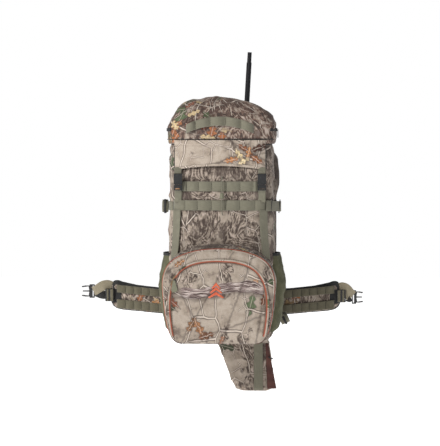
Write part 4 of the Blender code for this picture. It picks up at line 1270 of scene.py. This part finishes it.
def drape_coordinates(mesh):
    """Fabric coordinates in metres, laid on each face from the side it faces most."""
    layer = mesh.uv_layers.get("fabric") or mesh.uv_layers.new(name="fabric")
    for face in mesh.polygons:
        n = face.normal
        for corner in face.loop_indices:
            x, y, z = mesh.vertices[mesh.loops[corner].vertex_index].co
            if abs(n.y) >= max(abs(n.x), abs(n.z)):
                layer.data[corner].uv = (x, z)
            elif abs(n.x) >= abs(n.z):
                layer.data[corner].uv = (y, z)
            else:
                layer.data[corner].uv = (x, y)


def stuffed(name, points, faces, body, nodes, choose, voxel=0.005, cap=0.005, press=None):
    """A padded piece: its closed form swollen by cloth simulation, then sewn channels pressed in.

    choose gives each face's material from its normal and centre; press moves a point after the swelling.
    """
    mesh = bpy.data.meshes.new(name)
    mesh.from_pydata([tuple(p) for p in points], [], faces)
    work = bmesh.new()
    work.from_mesh(mesh)
    bmesh.ops.recalc_face_normals(work, faces=work.faces)
    work.to_mesh(mesh)
    work.free()
    pad = bpy.data.objects.new(name, mesh)
    bpy.context.collection.objects.link(pad)
    even = pad.modifiers.new("even_mesh", "REMESH")
    even.mode, even.voxel_size = "VOXEL", voxel
    settle(pad)
    start = [v.co.copy() for v in pad.data.vertices]
    cloth = pad.modifiers.new("air", "CLOTH")
    cloth.settings.use_pressure = True
    cloth.settings.uniform_pressure_force = AIR_PRESSURE
    cloth.settings.effector_weights.gravity = 0.0
    cloth.point_cache.frame_start, cloth.point_cache.frame_end = 1, AIR_FRAMES
    for step in range(1, AIR_FRAMES + 1):
        bpy.context.scene.frame_set(step)
    settle(pad)
    bpy.context.scene.frame_set(1)
    for v, began in zip(pad.data.vertices, start):
        moved = v.co - began
        if moved.length > cap:
            v.co = began + moved.normalized() * cap
    fine = pad.modifiers.new("fine", "SUBSURF")
    fine.levels = fine.render_levels = 1
    settle(pad)
    if press:
        for v in pad.data.vertices:
            v.co = press(v.co)
    pad.data.update()
    looks = []
    pad.data.materials.clear()
    for face in pad.data.polygons:
        look = choose(face.normal, face.center)
        if look not in looks:
            looks.append(look)
            pad.data.materials.append(MATERIALS[look])
        face.material_index = looks.index(look)
    drape_coordinates(pad.data)
    pad.data.shade_smooth()
    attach(pad, body)
    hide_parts(*nodes)
    return pad


def slab(outline, low_y, high_y, soft):
    """An XZ outline as a closed pad between two y values, its edges drawn in by soft."""
    middle = sum((Vector(p) for p in outline), Vector()) / len(outline)
    rows = []
    for y, drawn in ((low_y, soft * 2.2), (low_y, soft), (low_y + soft * 0.5, 0.2 * soft),
                     ((low_y + high_y) / 2, 0.0), (high_y - soft * 0.5, 0.2 * soft), (high_y, soft),
                     (high_y, soft * 2.2)):
        row = []
        for p in outline:
            inward = (middle - Vector(p)).normalized()
            q = Vector(p) + inward * drawn
            row.append(Vector((q.x, y, q.z)))
        rows.append(row)
    points, faces, _ = skin(rows, True, (True, True))
    return points, faces


def box_outline(low_x, high_x, low_z, high_z, corner, count=72):
    ring = []
    for cx, cz, start in ((high_x - corner, low_z + corner, -90), (high_x - corner, high_z - corner, 0),
                          (low_x + corner, high_z - corner, 90), (low_x + corner, low_z + corner, 180)):
        for i in range(10):
            a = radians(start + 10 * i)
            ring.append((cx + corner * cos(a), 0, cz + corner * sin(a)))
    return even_ring(ring, count)


WING_OUTLINE = (            # |x|, z
    (0.142, 0.034), (0.200, 0.038), (0.262, 0.045), (0.300, 0.053), (0.322, 0.058), (0.336, 0.055),
    (0.344, 0.043), (0.345, 0.020), (0.344, -0.008), (0.338, -0.022), (0.326, -0.032), (0.306, -0.037),
    (0.262, -0.041), (0.200, -0.047), (0.142, -0.048))


def make_hip_wings():
    edge = even_ring([Vector((x - 0.001, 0, z * 0.985)) for x, z in WING_OUTLINE], 150)
    for side, label in SIDES:
        body = "wing_" + label

        def choose(normal, centre):
            if normal.y > 0.35:
                return "mesh"
            top = centre.z > 0.012 and abs(centre.x) < 0.335
            width = 0.0140 if top else 0.0065
            behind_lock = abs(centre.x) > 0.308 and -0.012 < centre.z < 0.030
            margin = outline_distance(edge, abs(centre.x), centre.z)
            if normal.y > -0.35 or behind_lock or margin < width:
                return "binding"
            return "back"

        outline = [Vector((side * p.x, 0, p.z)) for p in edge]
        points, faces = slab(outline, -0.0250, -0.0110, 0.0030)
        stuffed("wing_pad_" + label, points, faces, body, ("hip_wing_" + label,), choose, 0.0042,
                0.0030)
        rows = (("upper", 0.0225, 0.0230), ("lower", -0.0215, 0.0260))
        for row_name, z, height in rows:
            tacks = [side * t for t in (-0.045, -0.018, 0.005, 0.0282, 0.0529)]
            bowed_rows("wing_webbing_%s_%s" % (row_name, label), lambda x, z_: -0.0278, 0.0785, z, height,
                       sorted(tacks), 0.0030, body, ("wing_webbing_" + label,) if row_name == "upper" else (),
                       shift=side * 0.2435, look="belt", slope=side * 0.10)


def make_wing_roots():
    """Cloth that joins each wing to the pack."""
    for side, label in SIDES:
        rows = []
        for k in range(15):
            x = 0.1020 + 0.0460 * k / 14
            row = []
            for n in range(17):
                z = -0.0440 + 0.0740 * n / 16
                fold = 0.0016 * sin(pi * k / 14) + 0.0010 * ridge((x, 0, z), (60, 1, 40), 3.0)
                row.append((side * x, -0.0180 + fold, z))
            rows.append(row)
        joining_cloth("wing_root_cloth_" + label, rows, "binding", 0.0060)


BELT_ENDS = {               # |x|, z and width of the wide folded strap, then of the dark strap below it
    "left": (((0.338, 0.036, 0.030), (0.350, 0.040, 0.031), (0.363, 0.0385, 0.030), (0.375, 0.032, 0.028),
              (0.385, 0.0255, 0.027), (0.3925, 0.0220, 0.028)),
             ((0.350, 0.012, 0.024), (0.364, 0.011, 0.024), (0.378, 0.014, 0.022), (0.389, 0.018, 0.020))),
    "right": (((0.336, 0.034, 0.030), (0.345, 0.034, 0.036), (0.355, 0.029, 0.038), (0.364, 0.019, 0.037),
               (0.3745, 0.0100, 0.036)),
              ((0.359, 0.004, 0.018), (0.363, 0.003, 0.018), (0.367, 0.002, 0.018), (0.372, 0.003, 0.016)))}


def make_belt_ends():
    for side, label in SIDES:
        for name, knots, y, thick, look in (("webbing", BELT_ENDS[label][0], -0.0215, 0.0032, "tan"),
                                            ("lining", BELT_ENDS[label][1], -0.0185, 0.0030, "binding")):
            path = smooth([(side * x, y, z) for x, z, _ in knots], 7)
            widths = [w.x for w in smooth([(k[2], 0, 0) for k in knots], 7)]
            crests = [p + Vector((0, -0.0060 * sin(pi * i / (len(path) - 1)), 0)) for i, p in enumerate(path)]
            turns = [square_to(heading(path, i)) * -side for i in range(len(path))]
            strap("belt_%s_%s" % (name, label), crests, widths, thick, look, "belt_end_" + label, turns,
                  ("belt_strap_" + label,) if name == "webbing" else ())
        low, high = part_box("belt_lock_" + label)
        middle = (low.x + high.x) / 2
        for n, off, width in (("inner", -0.0065, 0.0085), ("outer", 0.0060, 0.0050)):
            bar = [(middle + side * off, low.y - 0.0008 - 0.0012 * sin(pi * t), -0.0060 + 0.0350 * t)
                   for t in (k / 12 for k in range(13))]
            strap("belt_bar_%s_%s" % (n, label), bar, width, 0.0022, "belt", "wing_" + label, (1, 0, 0))


# ---------------------------------------------------------------- back and harness
def make_back():
    def mesh_only(normal, centre):
        return "mesh" if normal.y > -0.5 else "binding"

    def lumbar_press(p):
        dent = 0.0045 * bell(p.z + 0.010, 0.0035) * window(p.x, -0.092, 0.092, 0.01)
        dent += 0.0045 * bell(abs(p.x) - 0.036, 0.0030) * window(p.z, -0.072, 0.052, 0.01)
        return Vector((p.x, p.y - (dent if p.y > -0.012 else 0.0), p.z))

    points, faces = slab(box_outline(-0.1030, 0.1030, -0.0830, 0.0630, 0.026), -0.0290, -0.0040, 0.0045)
    stuffed("lumbar_cushion", points, faces, "root", ("lumbar_pad",), mesh_only, 0.0050, 0.0045,
            lumbar_press)

    def back_press(p):
        dent = 0.0
        for z in (0.128, 0.170, 0.212, 0.254, 0.296):
            dent += 0.0045 * bell(p.z - z, 0.0032)
        dent *= window(abs(p.x), 0.018, 0.104, 0.006)
        return Vector((p.x, p.y - (dent if p.y > -0.018 else 0.0), p.z))

    for side, label in SIDES:
        low_x, high_x = sorted((side * 0.0150, side * 0.1080))
        points, faces = slab(box_outline(low_x, high_x, 0.0870, 0.3330, 0.020), -0.0285, -0.0115, 0.0040)
        stuffed("back_cushion_" + label, points, faces, "root", ("back_pad",), mesh_only, 0.0050,
                0.0042, back_press)

    outline = box_outline(-0.1270, 0.1270, -0.1030, 0.4120, 0.020, 120)
    middle = Vector((0, 0, 0.1545))
    rows = []
    for share, y in ((1.0, -0.0392), (1.006, -0.0360), (1.0, -0.0326), (0.985, -0.0316), (0.9, -0.0314),
                     (0.7, -0.0314), (0.45, -0.0314), (0.2, -0.0314), (0.04, -0.0314)):
        rows.append([Vector((p.x * share, y, middle.z + (p.z - middle.z) * share)) for p in outline])
    points, faces, _ = skin(rows, True, (False, True))
    corners = front_corners(points, faces)
    build("back_cover", points, faces, corners, "binding", "root")

    points, faces = slab(box_outline(-0.1100, 0.1100, 0.3510, 0.4250, 0.012), -0.0306, -0.0245, 0.0020)
    corners = front_corners(points, faces)
    build("yoke_cloth", points, faces, corners, "back", "root", ("yoke_panel",))
    rim = [Vector((p.x, -0.0238, p.z)) for p in box_outline(-0.1035, 0.1035, 0.3575, 0.4185, 0.010, 90)]
    stitches("yoke_stitches", rim, (0, 1, 0), "root")
    loop = smooth([(-0.0350, -0.0130, 0.4140), (-0.0350, -0.0130, 0.4280), (-0.0300, -0.0130, 0.4420),
                   (-0.0160, -0.0130, 0.4500), (0.0, -0.0130, 0.4515), (0.0160, -0.0130, 0.4500),
                   (0.0300, -0.0130, 0.4420), (0.0350, -0.0130, 0.4280), (0.0350, -0.0130, 0.4140)], 5)
    olive_strap("haul_loop", loop, 0.0165, 0.0030, "handle", (0, 1, 0), "haul_handle")


SHOULDER_KNOTS = (          # |x|, y, z, width
    (0.074, -0.012, 0.396, 0.052), (0.072, 0.008, 0.405, 0.060), (0.071, 0.030, 0.398, 0.064),
    (0.072, 0.049, 0.372, 0.066), (0.076, 0.060, 0.330, 0.068), (0.082, 0.062, 0.280, 0.068),
    (0.090, 0.059, 0.225, 0.064), (0.098, 0.054, 0.170, 0.058), (0.104, 0.048, 0.120, 0.052),
    (0.107, 0.042, 0.080, 0.047), (0.107, 0.036, 0.045, 0.040))


def shoulder_frames(side, pieces=5):
    """Points, widths and outward directions along a shoulder strap."""
    path = smooth([(side * k[0], k[1], k[2]) for k in SHOULDER_KNOTS], pieces)
    frames = []
    for i, p in enumerate(path):
        share = i / (len(path) - 1) * (len(SHOULDER_KNOTS) - 1)
        k = min(int(share), len(SHOULDER_KNOTS) - 2)
        width = SHOULDER_KNOTS[k][3] + (SHOULDER_KNOTS[k + 1][3] - SHOULDER_KNOTS[k][3]) * (share - k)
        ahead = heading(path, i).normalized()
        across = Vector((1, 0, 0))
        out = ahead.cross(across).normalized()
        if out.dot(p - Vector((p.x, -0.02, 0.24))) < 0:
            out.negate()
        across = out.cross(ahead).normalized()
        frames.append((p, width, out, across))
    return frames


def make_shoulders():
    for side, label in SIDES:
        body = "shoulder_" + label
        frames = shoulder_frames(side)
        rows = []
        for p, width, out, across in frames:
            half, deep = width / 2 - 0.0030, 0.0042
            row = []
            for k in range(20):
                a = 2 * pi * k / 20
                c, s = cos(a), sin(a)
                row.append(p + across * (half * abs(c) ** 0.35 * (1 if c >= 0 else -1))
                           + out * (deep * abs(s) ** 0.6 * (1 if s >= 0 else -1)))
            rows.append(row)
        points, faces, _ = skin(rows, True, (True, True))

        def choose(normal, centre):
            outward = (centre - Vector((centre.x, -0.02, 0.24))).normalized()
            return "back" if normal.dot(outward) > 0.25 else "mesh"

        stuffed("shoulder_pad_" + label, points, faces, body, ("shoulder_strap_" + label,), choose,
                0.0042, 0.0026)
        for edge_side in (-1, 1):
            run = [p + across * (edge_side * (width / 2 - 0.0012)) for p, width, out, across in frames]
            place = "inner" if edge_side * side < 0 else "outer"
            cord_mesh("shoulder_edge_%s_%s" % (label, place), run, 0.0026, "binding", body)
        run = [p + out * 0.0078 for p, width, out, across in frames[6:-2]]
        strap("shoulder_ladder_" + label, run, 0.0200, 0.0018, "webbing", body,
              [across for _, _, _, across in frames[6:-2]])
        hang = smooth([(side * x, y, z) for x, y, z in (
            (0.1110, 0.0400, 0.0500), (0.118, 0.033, 0.030), (0.120, 0.020, 0.000), (0.121, 0.004, -0.035),
            (0.122, -0.014, -0.070), (0.122, -0.028, -0.092))], 6)
        tail = olive_strap("shoulder_tail_" + label, hang, 0.0200, 0.0020, None, (1, 0, 0),
                           "shoulder_webbing_" + label)
        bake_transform(tail)
        chest = [(side * (0.094 - 0.064 * k / 12), 0.0750, 0.280) for k in range(13)]
        olive_strap("sternum_webbing_" + label, chest, 0.0200, 0.0022, "sternum_" + label, (0, 0, 1),
                    "sternum_web_" + label)


# ---------------------------------------------------------------- rifle sleeve and sides
SLEEVE_Y, SLEEVE_SQUARENESS = -0.0612, 7.0


def make_sleeve():
    count, rows = 132, []
    for k in range(76):
        z = -0.1060 + 0.5310 * k / 75
        ring = even_ring(superellipse(0.1305, 0.0222, SLEEVE_Y, z, 220, SLEEVE_SQUARENESS), count)
        row = []
        for i, p in enumerate(ring):
            sag = 0.0011 * ridge((p.x, p.y, z), (10, 10, 16), 6.3) if abs(p.x) > 0.118 else 0.0
            row.append(p + ring_out(ring, i, SLEEVE_Y) * sag)
        rows.append(row)
    cloth_piece("sleeve_cloth", rows, "back", "root", 0.0020, -1, "rifle_sleeve", True)
    for name, z in (("top", 0.4245), ("foot", -0.1055)):
        rim = even_ring(superellipse(0.1298, 0.0215, SLEEVE_Y, z, 200, SLEEVE_SQUARENESS), 110)
        cord_mesh("sleeve_binding_" + name, rim, 0.0020, "binding", "root", closed=True)
    for side, label in SIDES:
        rows = []
        for k in range(69):
            z = -0.092 + 0.546 * k / 68
            near = Vector((side * (bag_side(-0.118, z) + 0.0002), -0.1180, z))
            far = Vector((side * 0.1315, -0.0560, z))
            row = []
            for i in range(17):
                t = i / 16
                q = near.lerp(far, t)
                loaded = 0.012 + 0.010 * ease(z, 0.300, 0.350)
                belly = loaded * sin(pi * t) ** 0.8 * window(z, -0.092, 0.454, 0.04) if 0 < t < 1 else 0.0
                belly += 0.0032 * ridge((q.x, q.y, z), (10, 22, 15), 9.7) * sin(pi * t)
                row.append(q + Vector((side * belly, 0, 0)))
            rows.append(row)
        # the right side panel takes the darker side material as painted shade; the left panel keeps the bag
        # print
        cloth_piece("side_panel_" + label, rows, "bag" if side < 0 else "side", "root", 0.0018, 0)


# ---------------------------------------------------------------- butt pocket
BUTT_STATIONS = (           # height, left x, right x
    (-0.2640, 0.0480, 0.1300), (-0.2590, 0.0330, 0.1410), (-0.2250, 0.0170, 0.1420),
    (-0.1885, 0.0065, 0.1390), (-0.1510, -0.0105, 0.1345), (-0.1220, -0.0250, 0.1330))
BUTT_Y, BUTT_HALF_Y, BUTT_SQUARENESS = -0.0600, 0.0235, 5.0


def make_butt_pocket():
    count, rows = 120, []
    low_z, top_z = BUTT_STATIONS[0][0], BUTT_STATIONS[-1][0]
    left, right = BUTT_STATIONS[0][1:]
    middle = (left + right) / 2
    foot = superellipse((right - left) / 2, BUTT_HALF_Y - 0.003, BUTT_Y, low_z, 200, BUTT_SQUARENESS)
    for share in (0.05, 0.5, 0.9):
        rows.append([Vector((middle + p.x * share, BUTT_Y + (p.y - BUTT_Y) * share, low_z - 0.0012))
                     for p in even_ring(foot, count)])
    steps = 64
    for k in range(steps + 1):
        z = low_z + (top_z - low_z) * k / steps
        left, right = between(BUTT_STATIONS, z)
        middle = (left + right) / 2
        deep = BUTT_HALF_Y - 0.0030 * (1 - ease(z, low_z, low_z + 0.014))
        ring = even_ring(superellipse((right - left) / 2, deep, BUTT_Y, z, 200, BUTT_SQUARENESS), count)
        row = []
        for i, p in enumerate(ring):
            out = ring_out(ring, i, BUTT_Y)
            q = Vector((middle + p.x, p.y, z))
            loose = ease(z, low_z, low_z + 0.02) * (1 - ease(z, top_z - 0.012, top_z))
            fold = 0.0034 * ridge((q.x, q.y, z), (20, 12, 24), 5.1)
            fold += 0.0026 * swell((q.x, q.y, z), (30, 30, 30), 3.3)
            strapped = 1 - 0.85 * window(q.x, 0.082, 0.120, 0.010) * (1 if q.y < BUTT_Y else 0)
            row.append(q + out * (fold - 0.0008) * loose * strapped)
        rows.append(row)
    cloth_piece("butt_cloth", rows, "butt", "butt", 0.0020, -1, "butt_pocket", True, (True, False))

    path = smooth([(0.1012, -0.0872, -0.1235), (0.1012, -0.0868, -0.1400), (0.1012, -0.0866, -0.1900),
                   (0.1012, -0.0866, -0.2300), (0.1012, -0.0862, -0.2540), (0.1012, -0.0835, -0.2620)], 6)
    olive_strap("butt_strap", path, 0.0265, 0.0022, "butt", (1, 0, 0), "butt_webbing")
    rows = []
    for k in range(13):
        z = -0.1010 - 0.0250 * k / 12
        rows.append([(-0.0215 + 0.1530 * n / 30, -0.0848 - 0.0006 * sin(pi * k / 12), z) for n in range(31)])
    joining_cloth("butt_hinge_cloth", rows, "butt", 0.0016)
    welt = [Vector((0.1260 + 0.0150 * k / 24, -0.0856, -0.1250 - 0.1330 * k / 24)) for k in range(25)]
    strap("butt_flap", welt, [0.0080 + 0.0190 * k / 24 for k in range(25)], 0.0030, "maroon", "butt",
          (1, 0.10, 0.05))
    pull = smooth([(0.1310, -0.0870, -0.1640), (0.1350, -0.0882, -0.1670), (0.1400, -0.0872, -0.1685),
                   (0.1440, -0.0850, -0.1700)], 5)
    cord_mesh("butt_pull", pull, 0.0018, "black", "butt")


# ---------------------------------------------------------------- lid zip
def make_lid_zip():
    for side, label in SIDES:
        track = []
        for k in range(33):
            y = -0.236 + 0.125 * k / 32
            half_x, front, back = between(LID_STATIONS, 0.5)
            middle, half_y = (front + back) / 2, (back - front) / 2
            x = half_x * (1 - min(1.0, abs((y - middle) / half_y)) ** SQUARENESS) ** (1 / SQUARENESS)
            track.append((side * (x + 0.0005), y, 0.5000))
        strap("lid_zip_" + label, track, 0.0090, 0.0030, "binding", "lid", (0, 0, 1))


# ---------------------------------------------------------------- finishes on kept parts
KEPT = {"frame_sheet": "sheet", "frame_hoop": "alloy", "carried_rod": "rod", "cord_toggle": "olive",
        "door_zip_pull": "olive"}
KEPT.update(("%s_%s" % (node, label), "black") for node in ("buckle_socket", "buckle_plug", "belt_lock",
                                                            "belt_buckle") for _, label in SIDES)
KEPT.update((node, "black") for node in ("lid_zip_slider", "lid_zip_pull", "side_lock_right",
                                         "door_zip_slider", "sternum_socket", "sternum_plug"))


def finish_kept():
    for node, look in KEPT.items():
        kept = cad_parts[node]
        if not kept.material_slots:
            kept.data.materials.append(MATERIALS[look])
        for slot in kept.material_slots:
            slot.material = MATERIALS[look]


make_camera()
make_stage()
make_materials()
make_hip_wings()
make_back()
make_shoulders()
make_wing_roots()
make_belt_ends()
make_bag()
make_lid()
make_lid_handle()
make_lid_zip()
make_flap()
make_lid_buckles()
make_front_webbing()
make_side_webbing()
make_door()
make_gusset()
make_emblem()
make_side_pockets()
make_sleeve()
make_butt_pocket()
finish_kept()
